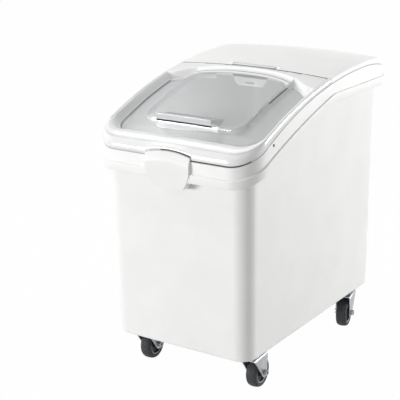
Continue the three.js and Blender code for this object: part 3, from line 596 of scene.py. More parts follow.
def grip_shell():
    """The shield-shaped pull grip, open below and towards the wall."""
    top = seam(FRONT_READ) + ARCH_RISE - GRIP_TOP_GAP
    bottom = top - GRIP_HEIGHT
    face = front_face(LOWER_TIER + GRIP_PROUD, top - GRIP_SLOPE)
    back = front_face(1, top)

    def place(across, share):
        z = mix(bottom, top - GRIP_CROWN * across ** 2, share)
        crease = top - GRIP_SLOPE + GRIP_ARCH * (1 - across ** 2) - GRIP_CREASE_DROP
        if z < crease:
            y = face + GRIP_TAPER * (crease - z) / (crease - bottom)
        else:
            y = face + GRIP_SHOULDER * ((z - crease) / (top - crease)) ** GRIP_BULGE
        return Vector((grip_half(share) * across, y, z))

    bm = bmesh.new()
    shares = steps(0, GRIP_ROWS[0], 6) + steps(GRIP_ROWS[1], 1, 28)
    mapped_grid(bm, [[place(across, share) for across in steps(-1, 1, 28)] for share in shares])
    rim = [e for e in bm.edges if e.is_boundary and max(v.co.z for v in e.verts) > bottom + WELD]
    out = bmesh.ops.extrude_edge_only(bm, edges=rim)["geom"]
    for vert in only_verts(out):
        vert.co.y = back
    outwards(bm)
    if max(bm.faces, key=lambda f: -f.calc_center_median().y).normal.y > 0:
        bmesh.ops.reverse_faces(bm, faces=bm.faces)
    thicken(bm, GRIP_WALL)
    ease(bm, GRIP_EASE, over=50, segments=3)
    return bm


class RICEBIN_OT_tub(bpy.types.Operator):
    """Make the moulded tub with its stepped rim and pull grip"""
    bl_idname = "ricebin.tub"
    bl_label = "Tub"

    def execute(self, context):
        bm = tub_shell()
        join(bm, grip_shell())
        floor = TUB_BASE + TUB_FLOOR
        for _, side, y, _ in CASTERS:
            made = bmesh.ops.create_cube(bm, size=1)["verts"]
            bmesh.ops.scale(bm, vec=PAD_SIZE, verts=made)
            bmesh.ops.translate(bm, vec=(side * KINGPIN_X, y, floor + PAD_MIDDLE), verts=made)
            edges = dict.fromkeys(e for v in made for e in v.link_edges)
            upper = [e for e in edges if max(v.co.z for v in e.verts) > floor]
            round_edges(bm, upper, PAD_EASE, 3)
        for side in (-1, 1):
            stud = lathe(STUD, 20, 3)
            for face in stud.faces:
                face.material_index = 1
            z = seam(STUD_Y) - STUD_DROP
            x = side * (HALF_WIDTH + UPPER_TIER + TUB_DRAFT * (z - TUB_BASE))
            place = Matrix.Translation((x, STUD_Y, z)) @ Matrix.Rotation(side * QUARTER, 4, "Y")
            bmesh.ops.transform(stud, matrix=place, verts=stud.verts)
            join(bm, stud)
        add_piece(bm, "tub", "bin", ["bin_body"],
                  ["polyethylene, moulded", "nylon, moulded"])
        return {"FINISHED"}


# Shared by lid and cover


def seat_point(share, turn, end, start):
    """A place on the line where the skirt sits on the rim, along the side and round the corner to the end."""
    station = (HALF_WIDTH, mix(start, end * STRAIGHT, share), 1, 0)
    if turn > 0:
        station = corner_station(end, turn)
    return outward(station, LEDGE_OUT, seam(station[1] + station[3] * RIM_LINE))


def inset_point(share, turn, end, start, side_inset, end_inset, corner):
    """A place on a rounded outline inside the seat's; the caller gives its height."""
    edge = seat_point(1, QUARTER, end, start).y - end * end_inset
    centre = edge - end * corner
    y = centre + end * corner * math.sin(turn) if turn > 0 else mix(start, centre, share)
    half = HALF_WIDTH + TUB_DRAFT * (rail(y) - TUB_BASE) + LEDGE_OUT - side_inset
    return Vector((half - corner * (1 - math.cos(turn)), y, 0))


def skirt_points(seat, top):
    """Upright skirt, then the rounded rail up to its top."""
    low = seat.z + SKIRT_RISE
    points = [seat + Vector((0, 0, rise)) for rise in (SKIRT_GAP, SKIRT_GAP + SKIRT_LINE, SKIRT_RISE)]
    for turn in steps(0, QUARTER, 9)[1:]:
        out = math.cos(turn)
        z = mix(low, top.z, math.sin(turn))
        points.append(Vector((mix(top.x, seat.x, out), mix(top.y, seat.y, out), z)))
    return points


def mirrored(point):
    return Vector((-point.x, point.y, point.z))


def pin_sleeve(x, radius, half_length, turn):
    """A sleeve about the hinge pin, with its middle at a place across the bin."""
    half = ((PIN_BORE, -half_length, 0), (radius, -half_length, turn))
    bm = lathe([*half, *opposite(half)], 24, 2)
    place = Matrix.Translation((x, PIN_Y, surface(0, PIN_Y) - HINGE_DROP))
    bmesh.ops.transform(bm, matrix=place @ Matrix.Rotation(QUARTER, 4, "Y"), verts=bm.verts)
    return bm


# Rear cover


def cover_skin():
    inset = (RAIL_INSET, REAR_INSET, COVER_CORNER)
    rows = [(share, 0) for share in steps(0, 1, 40)] + [(1, turn) for turn in steps(0, QUARTER, 14)[1:]]
    across = []
    for share, turn in rows:
        seat = seat_point(share, turn, 1, COVER_FRONT)
        top = inset_point(share, turn, 1, COVER_FRONT, *inset)
        right = skirt_points(seat, on_surface(top.x, top.y))
        middle = [on_surface(top.x * s, top.y) for s in steps(-1, 1, 24)[1:-1]]
        across.append([mirrored(p) for p in right] + middle + right[::-1])
    seat = seat_point(1, QUARTER, 1, COVER_FRONT)
    top = inset_point(1, QUARTER, 1, COVER_FRONT, *inset)
    columns = []
    for share in steps(-1, 1, 24):
        low = Vector((seat.x * share, seat.y, seat.z))
        columns.append(skirt_points(low, on_surface(top.x * share, top.y)))
    rear = [[column[i] for column in columns] for i in reversed(range(len(columns[0])))]
    bm = bmesh.new()
    mapped_grid(bm, across)
    mapped_grid(bm, rear)
    return bm


def ledge_and_flange():
    """The step under the lid's border, the strips that hang from it and the scoop hook."""
    edge, back = HINGE_Y - LEDGE_FRONT, COVER_FRONT + LEDGE_BACK
    path = rounded([(back, LEDGE_TOP, 0), (back, LEDGE_DROP, LEDGE_ROUNDS[0]),
                    (edge, LEDGE_DROP, LEDGE_ROUNDS[1]), (edge, NOTCH_DROP, 0)])
    rows = []
    for y, drop in reversed(path):
        rows.append([on_surface(x, y, -drop) for x in steps(-LEDGE_HALF, LEDGE_HALF, 32)])
    bm = bmesh.new()
    mapped_grid(bm, rows)
    thicken(bm, COVER_WALL)
    top = surface(0, edge)
    hook_top = HOOK_LAP - NOTCH_DROP
    flank = list(zip((HOOK_HALF - HOOK_FLARE, HOOK_HALF, HOOK_HALF + HOOK_FLARE),
                     (-HOOK_DROP, HOOK_SHOULDER - HOOK_DROP, hook_top), HOOK_ROUNDS))
    hook = rounded([(0, hook_top, 0), *[(-x, z, turn) for x, z, turn in reversed(flank)], *flank])
    slot = []
    for side in (1, -1):
        for turn in steps(-side * QUARTER, (2 - side) * QUARTER, 6):
            x = side * (SLOT_HALF - SLOT_HALF_HEIGHT) + SLOT_HALF_HEIGHT * math.cos(turn)
            slot.append((x, SLOT_HALF_HEIGHT * math.sin(turn) - SLOT_DROP))
    pieces = [(hook, [slot])]
    strip_top = STRIP_LAP - NOTCH_DROP
    for side in (-1, 1):
        near, far = side * NOTCH_FAR, side * LEDGE_HALF
        strip = rounded([(far, strip_top, 0), (far, -STRIP_DROP, STRIP_ROUND),
                         (near, -STRIP_DROP, STRIP_ROUND), (near, strip_top, 0)])
        pieces.append((strip, []))
    for outline, holes in pieces:
        flat = plate(outline, holes, COVER_WALL)
        for vert in flat.verts:
            crown = surface(vert.co.x, edge) - top if abs(vert.co.x) > HOOK_HALF + HOOK_FLARE + 1 else 0
            vert.co += Vector((0, edge, top + crown))
        ease(flat, COVER_EASE, over=60)
        join(bm, flat)
    return bm


class RICEBIN_OT_cover(bpy.types.Operator):
    """Make the fixed rear cover with its flange and scoop hook, and the hinge pin's bosses"""
    bl_idname = "ricebin.cover"
    bl_label = "Rear cover"

    def execute(self, context):
        bm = cover_skin()
        weld(bm, WELD)
        near, far = TONGUE_HALF + NOTCH_CLEARANCE, HINGE_Y + NOTCH_RUN
        for place in ((-near, 0, 0), (near, 0, 0), (0, far, 0)):
            everything = bm.verts[:] + bm.edges[:] + bm.faces[:]
            bmesh.ops.bisect_plane(bm, geom=everything, plane_co=place, plane_no=Vector(place).normalized())
        middles = [(f, f.calc_center_median()) for f in bm.faces]
        gone = [f for f, middle in middles if abs(middle.x) < near and middle.y < far]
        bmesh.ops.delete(bm, geom=gone, context="FACES")
        thicken(bm, COVER_WALL)
        ease(bm, COVER_EASE, over=60)
        join(bm, ledge_and_flange())
        for side in (-1, 1):
            join(bm, pin_sleeve(side * (near + BOSS_HALF), BOSS_RADIUS, BOSS_HALF, BOSS_ROUND))
        add_piece(bm, "rear_cover_shell", "bin", ["rear_cover"], ["polyethylene, moulded"])
        return {"FINISHED"}


# Lid


def panel_front():
    return seat_point(1, QUARTER, -1, LID_REAR).y + PANEL_SETBACK


def panel_depth(x, y):
    """How far a place lies inside the panel's rounded outline."""
    across = abs(x) - (PANEL_HALF - PANEL_CORNER)
    ahead = panel_front() + PANEL_CORNER - y
    beyond = math.hypot(max(across, 0), max(ahead, 0)) + min(max(across, ahead), 0)
    return PANEL_CORNER - beyond


def panel_edge(y, inset):
    """Where the panel's side lies at a place along the bin, drawn in by an inset."""
    corner = PANEL_CORNER - inset
    ahead = panel_front() + PANEL_CORNER - y
    reach = math.sqrt(max(0, corner ** 2 - ahead ** 2)) if ahead > 0 else corner
    return PANEL_HALF - PANEL_CORNER + reach


def lid_height(x, y):
    moat = surface(x, y) - moat_drop(x, y)
    top = surface(x, y) - PANEL_DROP * moat_drop(x, y) / MOAT_DEPTH
    return moat + (top - moat) * smooth(panel_depth(x, y) / PANEL_WALL_RUN)


def followed(distance, run, far_run):
    """A distance from the hinge line at the side, carried across so that the rows follow the arched ramp."""
    if distance < far_run - RAMP_WALL:
        return distance * (run - RAMP_WALL) / (far_run - RAMP_WALL)
    fade = 1 - smooth((distance - far_run) / FOLLOW_FADE)
    return distance + (run - far_run) * fade


def lid_rows():
    """(share, turn) of each row, from the hinge line to the front."""
    centre = seat_point(1, QUARTER, -1, LID_REAR).y + FOOT_FRONT_INSET + FOOT_CORNER
    places = [LID_REAR, *steps(LID_REAR - HINGE_LINE, LID_REAR - RAMP_FAR + RAMP_WALL, 8)]
    ramp, edge = LID_REAR - RAMP_FAR, panel_front()
    for end, count in ((ramp, 7), (ramp - ARCH_BORDER, 9), (edge + PANEL_CORNER, 26),
                       (edge + PANEL_WALL_RUN, 9), (edge, 5)):
        places += steps(places[-1], end, count)[1:]
    turned = [centre - FOOT_CORNER * math.sin(turn) for turn in steps(0, QUARTER, 14)]
    places += [y for y in turned if y < edge - LEAST_ROW]
    rows = []
    for y in places:
        past = max(0, centre - y) / FOOT_CORNER
        rows.append((min(1, (LID_REAR - y) / (LID_REAR - centre)), math.asin(min(1, past))))
    return rows


def lid_section(seat, top, foot):
    """From the skirt over the rail and down to the moat's outer foot."""
    points = skirt_points(seat, on_surface(top.x, top.y))
    for share in steps(0, 1, 8)[1:]:
        x, y = mix(top.x, foot.x, share), mix(top.y, foot.y, share)
        points.append(on_surface(x, y, -moat_drop(x, y) * smooth(share)))
    return points


def rail_zone(strip, place):
    """Zone of a face of the lid's rail, by its strip counted in from the skirt's foot: the lowest strip
    paints the seam's shade, near-black at the front and pale grey elsewhere, some strips paint grey lines,
    and the rolled rail paints its white highlight.
    """
    if strip == 0:
        return "edge" if place.y < -HALF_LENGTH and place.x > -ARCH_HALF / 3 else "flank"
    if OUTER_LINE[0] <= strip <= OUTER_LINE[1] and place.x < -HALF_WIDTH and place.y > -STRAIGHT:
        return "line"
    if strip == ROLL_LINE or strip == ROLL_END and place.x > HALF_WIDTH:
        return "flank"
    return "rail" if strip <= ROLL_END else "clear"


def lid_zone(strip, place):
    """Zone of a face of the lid, by its strip in from the side and its middle: it paints the hinge slit's
    shade in near-black, a pale border with grey lines by the arch and the left flank, and white highlights
    and dark grey lines on the panel's walls.
    """
    behind = LID_REAR - place.y
    if strip <= ROLL_END:
        return rail_zone(strip, place)
    if behind < HINGE_LINE:
        return "edge" if place.x > -TONGUE_HALF else "clear"
    down = behind - ramp_run(place.x)
    on_panel = panel_depth(place.x, place.y) > PANEL_WALL_RUN / 2
    if down < (ARCH_BORDER if on_panel else 0):
        low, high, share = (*ARCH_LINE, down) if on_panel else (*RAMP_LINE, down / RAMP_WALL + 1)
        return "line" if low < share < high and abs(place.x) < ARCH_LINE_END else "border"
    if strip <= FLANK_END and place.x < 0:
        return "line" if strip == FLANK_END else "border"
    ahead = (place.y - panel_front()) / PANEL_WALL_RUN
    by_pull = -PULL_HALF - CRESCENT_SHIFT < place.x < PULL_HALF
    if ahead < 1:
        low, high = (0, 1) if by_pull else WALL_LINE
        if strip >= WALL_MIDDLE and place.x < PULL_HALF and low < ahead < high:
            return "rail"
    elif strip == WALL_MIDDLE:
        if place.x > 0 and behind < FAINT_EDGE:
            return "line" if DARK_EDGE[0] < behind < DARK_EDGE[1] else "flank"
        if place.x < 0 and ahead < CORNER_LINE:
            return "rail"
    return "clear"


def lid_skin():
    insets = (RAIL_INSET, NOSE_INSET, RAIL_CORNER), (FOOT_INSET, FOOT_FRONT_INSET, FOOT_CORNER)
    across = []
    for share, turn in lid_rows():
        seat = seat_point(share, turn, -1, LID_REAR)
        top, foot = (inset_point(share, turn, -1, LID_REAR, *inset) for inset in insets)
        right = lid_section(seat, top, foot)
        edges = [panel_edge(foot.y, inset) for inset in steps(0, PANEL_WALL_RUN, 7)]
        places = [mix(foot.x, edges[0], s) for s in (0.25, 0.5, 0.75)] + edges
        places += [edges[-1] * s for s in steps(1, 0, 12)[1:]]
        half = []
        far = ramp_run(foot.x)
        for x in places:
            y = LID_REAR - followed(LID_REAR - foot.y, ramp_run(x), far)
            half.append(Vector((x, y, lid_height(x, y))))
        left = [mirrored(p) for p in half[:-1]]
        across.append([mirrored(p) for p in right] + left + half[::-1] + right[::-1])
    ends = [inset_point(1, QUARTER, -1, LID_REAR, *inset) for inset in insets]
    seat = seat_point(1, QUARTER, -1, LID_REAR)
    arch = ARCH_HALF / seat.x
    halves = steps(0, arch, 9) + steps(arch + ARCH_GAP, 1, 9)
    columns = []
    for share in sorted({s * side for s in halves for side in (-1, 1)}):
        columns.append(lid_section(*[Vector((p.x * share, p.y, p.z)) for p in (seat, *ends)]))
    front = [[column[i] for column in columns] for i in range(len(columns[0]))]
    bm = bmesh.new()
    last = len(across[0]) - 2
    mapped_grid(bm, across[::-1], lambda _, column, place: lid_zone(min(column, last - column), place))
    mapped_grid(bm, front, lambda row, _, place: rail_zone(row, place))
    weld(bm, LID_WELD)
    return bm


def cut_arch(bm):
    """Draws the front skirt's lower edge up into the arch over the grip."""
    skirt = front_face(LEDGE_OUT, seam(FRONT_READ))
    seat = seam(FRONT_READ) + SKIRT_GAP
    for vert in bm.verts:
        if vert.co.y > skirt + ARCH_REACH or abs(vert.co.x) > ARCH_HALF + NEAR:
            continue
        lift = mix(ARCH_RISE, ARCH_ENDS, (vert.co.x / ARCH_HALF) ** 2) - SKIRT_GAP
        height, reach = vert.co.z - seat, lift + ARCH_REACH
        if height <= SKIRT_LINE:
            vert.co.z += lift
        elif height < reach:
            share = (height - SKIRT_LINE) / (reach - SKIRT_LINE)
            vert.co.z = seat + lift + mix(SKIRT_LINE, reach - lift, share)
    return bm


def pull_hood():
    edge = panel_front()
    y = edge - PULL_OVERHANG
    z = surface(0, edge) - PULL_FOOT
    back = edge + PULL_RUN
    line = rounded([(y, z, 0), (y - PULL_LEAN * PULL_LINE / PULL_HEIGHT, z + PULL_LINE, 0),
                    (y - PULL_LEAN, z + PULL_HEIGHT, PULL_ROUND), (back, lid_height(0, back), 0)])
    rows = []
    for x in steps(-PULL_HALF, PULL_HALF, 20):
        rows.append([Vector((x, u, v + surface(x, edge) - surface(0, edge))) for u, v in line])
    bm = bmesh.new()

    # The lip's lowest strip is painted near-black as the shade under the pull, and its front face a nearly
    # opaque pale grey as painted light.
    def zone(_, column, place):
        face = "flank" if place.y < edge - PULL_FACE else "clear"
        return "edge" if column == 0 else face

    mapped_grid(bm, rows, zone)
    crown = surface(PULL_HALF, edge) - surface(0, edge)
    toe = edge + PULL_TOE_RUN, lid_height(0, edge + PULL_TOE_READ) - PULL_TOE_DROP
    for side in (-1, 1):
        bm.faces.new([bm.verts.new((side * PULL_HALF, u, v + crown)) for u, v in (*line, toe)])
    weld(bm, WELD)
    outwards(bm)
    if max(bm.faces, key=lambda f: f.calc_area()).normal.z < 0:
        bmesh.ops.reverse_faces(bm, faces=bm.faces)
    thicken(bm, PULL_WALL)
    ease(bm, PULL_EASE, over=50)
    return bm


def highlight_crescent():
    """A thin raised strip in front of the pull, curved and drawn in towards the left, coloured white as a
    painted highlight.
    """
    rows = []
    for ahead in steps(CRESCENT, 0, 8):
        share = ahead / CRESCENT
        left = CRESCENT_SHIFT * share ** 3 - PULL_HALF - CRESCENT_SHIFT
        right = mix(PULL_HALF - CRESCENT_SHIFT, -CRESCENT_TAIL * PULL_HALF, share)
        y = panel_front() - ahead
        rise = CRESCENT_PROUD * min(1, (1 - share) * CRESCENT_FADE)
        rows.append([Vector((x, y, lid_height(x, y) + rise)) for x in steps(left, right, 24)])
    bm = bmesh.new()
    mapped_grid(bm, rows, lambda *_: "rail")
    thicken(bm, CRESCENT_WALL)
    return bm


def hinge_tongue():
    """The tongue behind the hinge line, with the barrel under it that turns on the pin."""
    root, end = LID_REAR - TONGUE_ROOT, HINGE_Y + TONGUE_RUN

    def top(y):
        return surface(0, y) + TONGUE_PROUD

    line = [(root, top(root) - TONGUE_PROUD - LID_WALL), (end - 1, top(end) - TONGUE_PROUD - LID_WALL),
            (end, top(end) - TONGUE_NOSE), (end - 1, top(end)), (LID_REAR + TONGUE_LEAD, top(LID_REAR)),
            (root, top(root) - TONGUE_SINK)]
    bm = bmesh.new()
    face = bm.faces.new([bm.verts.new((-TONGUE_HALF, y, z)) for y, z in line])
    out = bmesh.ops.extrude_face_region(bm, geom=[face])["geom"]
    bmesh.ops.translate(bm, vec=(2 * TONGUE_HALF, 0, 0), verts=only_verts(out))
    outwards(bm)
    ease(bm, TONGUE_EASE, over=30)
    # The tongue's front is painted grey as the hinge line's shade, the rest pale as painted light.
    for face in bm.faces:
        in_front = face.calc_center_median().y < LID_REAR + HINGE_SLIT
        face.material_index = ZONES.index("line" if in_front else "border")
    join(bm, pin_sleeve(0, BARREL_RADIUS, TONGUE_HALF, 0))
    return bm


class RICEBIN_OT_lid(bpy.types.Operator):
    """Make the clear flip lid with its rail, moat, raised panel, pull and hinge tongue"""
    bl_idname = "ricebin.lid"
    bl_label = "Flip lid"

    def execute(self, context):
        bm = cut_arch(lid_skin())
        thicken(bm, LID_WALL)
        for vert in bm.verts:
            vert.co.y = min(vert.co.y, LID_REAR)
        # The lid's rear cut faces are painted near-black as the shade of the hinge slit.
        for face in bm.faces:
            if min(v.co.y for v in face.verts) > LID_REAR - NEAR:
                face.material_index = ZONES.index("edge")
        for addition in (pull_hood(), highlight_crescent(), hinge_tongue()):
            join(bm, addition)
        add_piece(bm, "flip_lid", "lid", ["front_lid"],
                  [f"polycarbonate, {zone}" for zone in ZONES])
        return {"FINISHED"}


class RICEBIN_OT_scoop(bpy.types.Operator):
    """Make the clear scoop with eased edges"""
    bl_idname = "ricebin.scoop"
    bl_label = "Scoop"

    def execute(self, context):
        bm = cad_copy("scoop")
        ease(bm, SCOOP_EASE, over=35)
        add_piece(bm, "rice_scoop", "scoop", ["scoop"], ["polycarbonate, clear scoop"],
                  angle=40)
        return {"FINISHED"}


# Casters


def caster_matrix(side, y, turn):
    return Matrix.Translation((side * KINGPIN_X, y, 0)) @ Matrix.Rotation(math.radians(turn), 4, "Z")


class RICEBIN_OT_wheels(bpy.types.Operator):
    """Make the tyres and hubs of the casters"""
    bl_idname = "ricebin.wheels"
    bl_label = "Wheels"

    def execute(self, context):
        axle = Matrix.Translation((0, TRAIL, WHEEL_RADIUS)) @ Matrix.Rotation(QUARTER, 4, "Y")
        ring_radius, ring_depth = HUB_RING
        for name, *place in CASTERS:
            matrix = caster_matrix(*place) @ axle
            tyre = lathe([*TYRE_HALF, (WHEEL_RADIUS, 0, TREAD_ROUND), *opposite(TYRE_HALF)], 72)
            add_piece(tyre, f"{name}_tyre_moulding", f"{name}_wheel", [f"{name}_tyre"],
                      ["rubber, grey"], angle=40, matrix=matrix)
            hub = lathe([*HUB_HALF, *opposite(HUB_HALF)], 64, 3)
            for face in hub.faces:
                centre = face.calc_center_median()
                if ring_radius < math.hypot(centre.x, centre.y) and abs(centre.z) > ring_depth:
                    face.material_index = 1
            add_piece(hub, f"{name}_hub_moulding", f"{name}_wheel", [f"{name}_hub"],
                      ["nylon, moulded", "nylon, worn edge"], angle=40, matrix=matrix)
        return {"FINISHED"}


class RICEBIN_OT_casters(bpy.types.Operator):
    """Make the steel pieces of the casters"""
    bl_idname = "ricebin.casters"
    bl_label = "Caster steel"

    def execute(self, context):
        steel = "steel, zinc plated"
        for name, *place in CASTERS:
            for piece, width in PRESSINGS.items():
                node, body = f"{name}_{piece}", "bin" if piece == "mount_plate" else f"{name}_fork"
                bm = cad_copy(node)
                ease(bm, width, over=30, segments=3)
                add_piece(bm, f"{node}_pressing", body, [node], [steel], angle=40)
            race = lathe(RACE, 48)
            add_piece(race, f"{name}_race_shell", "bin", [f"{name}_ball_race"],
                      [steel], angle=40, matrix=caster_matrix(*place))
        for name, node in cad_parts.items():
            if "_screw_" in name or name.endswith(("kingpin", "axle", "axle_sleeve", "hinge_pin")):
                node.data.materials.clear()
                node.data.materials.append(bpy.data.materials[steel])
        return {"FINISHED"}


# Materials


def fill_inputs(tree, node, inputs):
    """Links each socket, and sets each plain value, at a node's inputs."""
    for key, value in inputs.items():
        if isinstance(value, bpy.types.NodeSocket):
            tree.links.new(value, node.inputs[key])
        else:
            node.inputs[key].default_value = value


def add_node(tree, kind, inputs=None, **settings):
    """Adds a node, sets its properties and fills or links its inputs."""
    node = tree.nodes.new(kind)
    for key, value in settings.items():
        setattr(node, key, value)
    fill_inputs(tree, node, inputs or {})
    return node


def new_material(name):
    """A new material's node tree and the shader in it."""
    material = bpy.data.materials.new(name)
    material.use_nodes = True
    return material.node_tree, material.node_tree.nodes["Principled BSDF"]


def speckle(tree, size_mm, low, high, detail=3.0):
    """A noise whose patches are about size_mm across, spread between low and high."""
    place = add_node(tree, "ShaderNodeTexCoord").outputs["Object"]
    noise = add_node(tree, "ShaderNodeTexNoise", {
        "Vector": place, "Scale": 1 / (size_mm * MM), "Detail": detail})
    spread = add_node(tree, "ShaderNodeMapRange", {
        "Value": noise.outputs["Fac"], "From Min": 0.3, "From Max": 0.7, "To Min": low, "To Max": high})
    return spread.outputs["Result"]


def mottled(tree, size_mm, first, second, most=1):
    """A colour that wanders between two in patches about size_mm across."""
    return add_node(tree, "ShaderNodeMix", {
        "Factor": speckle(tree, size_mm, 0, most), "A": first, "B": second},
        data_type="RGBA").outputs["Result"]


def grained(tree, size_mm, strength, depth_mm, detail=3.0):
    """A normal that a grain about size_mm across makes uneven."""
    return add_node(tree, "ShaderNodeBump", {
        "Height": speckle(tree, size_mm, 0, 1, detail), "Strength": strength,
        "Distance": depth_mm * MM}).outputs["Normal"]


def polyethylene(settings):
    """Moulded polyethylene: a waxy white with a fine mould grain, faint mottling and softly uneven gloss."""
    tree, shader = new_material("polyethylene, moulded")
    fill_inputs(tree, shader, {
        "Base Color": mottled(tree, MOTTLE, settings.white, settings.white_shade),
        "Roughness": speckle(tree, GLOSS, 0.44, 0.54),
        # The real grain is finer than a millimetre; it is drawn coarser so that it shows.
        "Normal": grained(tree, GRAIN, 0.05, 0.4, detail=2.0),
        "IOR": 1.5})


def polycarbonate(name, colour, body, edge_body, glancing="#d2d4d5"):
    """Moulded clear polycarbonate: see-through when faced, denser and glossier when seen along its surface.

    body and edge_body are the shares of its own surface that show when faced and when seen along it.
    """
    tree, shader = new_material(name)
    fill_inputs(tree, shader, {
        "Base Color": colour, "Roughness": speckle(tree, CLEAR_GLOSS, 0.05, 0.12), "IOR": 1.58})
    facing = add_node(tree, "ShaderNodeLayerWeight", {"Blend": 0.35}).outputs["Facing"]
    tint = add_node(tree, "ShaderNodeMix", {
        "Factor": facing, "A": hex_colour("#fdfdfd"), "B": hex_colour(glancing)}, data_type="RGBA")
    through = add_node(tree, "ShaderNodeBsdfTransparent", {"Color": tint.outputs["Result"]})
    share = add_node(tree, "ShaderNodeMapRange", {"Value": facing, "To Min": body, "To Max": edge_body})
    joined = add_node(tree, "ShaderNodeMixShader", {
        "Fac": share.outputs["Result"], 1: through.outputs["BSDF"], 2: shader.outputs["BSDF"]})
    fill_inputs(tree, tree.nodes["Material Output"], {"Surface": joined.outputs["Shader"]})


def zinc_steel(settings):
    """Pressed steel with bright zinc plate: cool grey with a soft spangle and a slightly uneven sheen."""
    tree, shader = new_material("steel, zinc plated")
    fill_inputs(tree, shader, {
        "Base Color": mottled(tree, SPANGLE, settings.steel, hex_colour("#8f9396"), 0.7),
        "Metallic": 0.9, "Roughness": speckle(tree, SHEEN, 0.28, 0.45)})


def dark_plastic(name, colour, other, low, high, size_mm):
    """Moulded nylon or rubber: deep grey and half matt, with slight scuffs about size_mm across."""
    tree, shader = new_material(name)
    fill_inputs(tree, shader, {
        "Base Color": mottled(tree, size_mm, colour, other),
        "Roughness": speckle(tree, size_mm / 2, low, high),
        "Normal": grained(tree, FINE_SCUFF, 0.15, 0.3)})


class RICEBIN_OT_finishes(bpy.types.Operator):
    """Make the materials of the bin"""
    bl_idname = "ricebin.finishes"
    bl_label = "Finishes"

    def execute(self, context):
        settings = context.scene.ricebin_finish
        polyethylene(settings)
        clear, pale = settings.clear, hex_colour("#fafafa")
        # The rail, border and flank zones are painted highlight: the white and pale grey that the thick clear
        # plastic gathers by refraction are painted as a nearly opaque milky colour. The line and edge zones
        # are painted shade: grey and near-black stand in for dark refraction lines and for the shadow in the
        # seams, the hinge slit and under the pull's lip; the lid's cut rear edge is painted near-black too.
        for zone, *look in (
                ("clear", clear, settings.clear_body, 0.5, "#e2e4e5"),
                ("rail", pale, settings.rail_highlight, 0.9, "#f4f5f5"),
                ("border", pale, 0.72, 0.88, "#f4f5f5"),
                ("flank", hex_colour("#dcdedf"), 0.88, 0.92, "#e2e4e5"),
                ("line", hex_colour("#85888a"), 0.8, 0.9),
                ("edge", hex_colour("#1d1e1f"), 0.85, 0.95),
                ("clear scoop", clear, 0.1, 0.5)):
            polycarbonate(f"polycarbonate, {zone}", *look)
        zinc_steel(settings)
        dark_plastic("nylon, moulded", settings.nylon, hex_colour("#1c1e20"), 0.42, 0.6, 8)
        dark_plastic("nylon, worn edge", hex_colour("#9a9c9e"), hex_colour("#7c7f82"), 0.35, 0.5, 6)
        dark_plastic("rubber, grey", settings.rubber, hex_colour("#27292b"), 0.6, 0.8, 10)
        return {"FINISHED"}


# Stage


def add_lamp(name, kind, place, power):
    data = bpy.data.lights.new(name, kind)
    data.energy = power
    lamp = add_object(name, data)
    lamp.location = place
    lamp.visible_camera = False
    return lamp


def softbox(name, place, aim_height, size, power):
    lamp = add_lamp(f"{name} softbox", "AREA", place, power)
    lamp.data.shape = "RECTANGLE"
    lamp.data.size, lamp.data.size_y = size
    lamp.rotation_euler = (Vector((0, 0, aim_height)) - Vector(place)).to_track_quat("-Z", "Y").to_euler()


def shown_white(tree):
    """1 for rays from the camera and for what gloss and clear plastic show, else 0."""
    path = add_node(tree, "ShaderNodeLightPath")
    first = add_node(tree, "ShaderNodeMath", {
        0: path.outputs["Is Camera Ray"], 1: path.outputs["Is Glossy Ray"]}, operation="MAXIMUM")
    return add_node(tree, "ShaderNodeMath", {
        0: first.outputs[0], 1: path.outputs["Is Transmission Ray"]}, operation="MAXIMUM").outputs[0]


class RICEBIN_OT_stage(bpy.types.Operator):
    """Make the pale floor, the soft lamps, the world and the camera"""
    bl_idname = "ricebin.stage"
    bl_label = "Stage"

    def execute(self, context):
        settings = context.scene.ricebin_stage
        bm = bmesh.new()
        bmesh.ops.create_grid(bm, x_segments=2, y_segments=2, size=FLOOR_HALF)
        mesh = bpy.data.meshes.new("floor")
        bm.to_mesh(mesh)
        bm.free()
        add_object("floor", mesh)
        tree, shader = new_material("floor, pale")
        fill_inputs(tree, shader, {"Base Color": settings.floor, "Roughness": 0.9})
        white = add_node(tree, "ShaderNodeEmission")
        share = add_node(tree, "ShaderNodeMath", {
            0: shown_white(tree), 1: settings.floor_white}, operation="MULTIPLY")
        joined = add_node(tree, "ShaderNodeMixShader", {
            "Fac": share.outputs[0], 1: shader.outputs["BSDF"], 2: white.outputs["Emission"]})
        fill_inputs(tree, tree.nodes["Material Output"], {"Surface": joined.outputs["Shader"]})
        mesh.materials.append(bpy.data.materials["floor, pale"])

        world = bpy.data.worlds.new("studio")
        context.scene.world = world
        world.use_nodes = True
        tree = world.node_tree
        level = add_node(tree, "ShaderNodeMapRange", {"Value": shown_white(tree), "To Min": settings.ambient})
        fill_inputs(tree, tree.nodes["Background"], {
            "Color": (1, 1, 1, 1), "Strength": level.outputs["Result"]})

        softbox("left", (-5.4, -8.2, 0.7), 0.35, (3.9, 1.7), settings.left_power)
        softbox("overhead", (-1.4, -0.1, 4.1), 0.4, (3.0, 3.0), settings.top_power)
        fill = add_lamp("fill under the lid", "POINT", (0, SET_BACK - 0.08, 0.5), settings.fill_power)
        fill.data.shadow_soft_size = 0.05
        softbox("right", (2.9, 3.5, 1.1), 0.35, (2.0, 1.8), settings.right_power)

        data = bpy.data.cameras.new("camera")
        data.sensor_width = 36
        data.lens = LENS
        data.shift_x, data.shift_y = SHIFT
        camera = add_object("camera", data)
        azimuth, elevation = math.radians(AZIMUTH), math.radians(ELEVATION)
        level = math.cos(elevation)
        away = Vector((math.sin(azimuth) * level, -math.cos(azimuth) * level, math.sin(elevation)))
        camera.location = Vector((0, SET_BACK, TARGET_HEIGHT)) + away * DISTANCE
        camera.rotation_euler = (-away).to_track_quat("-Z", "Y").to_euler()
        context.scene.camera = camera
        context.scene.view_settings.view_transform = "Standard"
        return {"FINISHED"}


# Settings, panel and registration


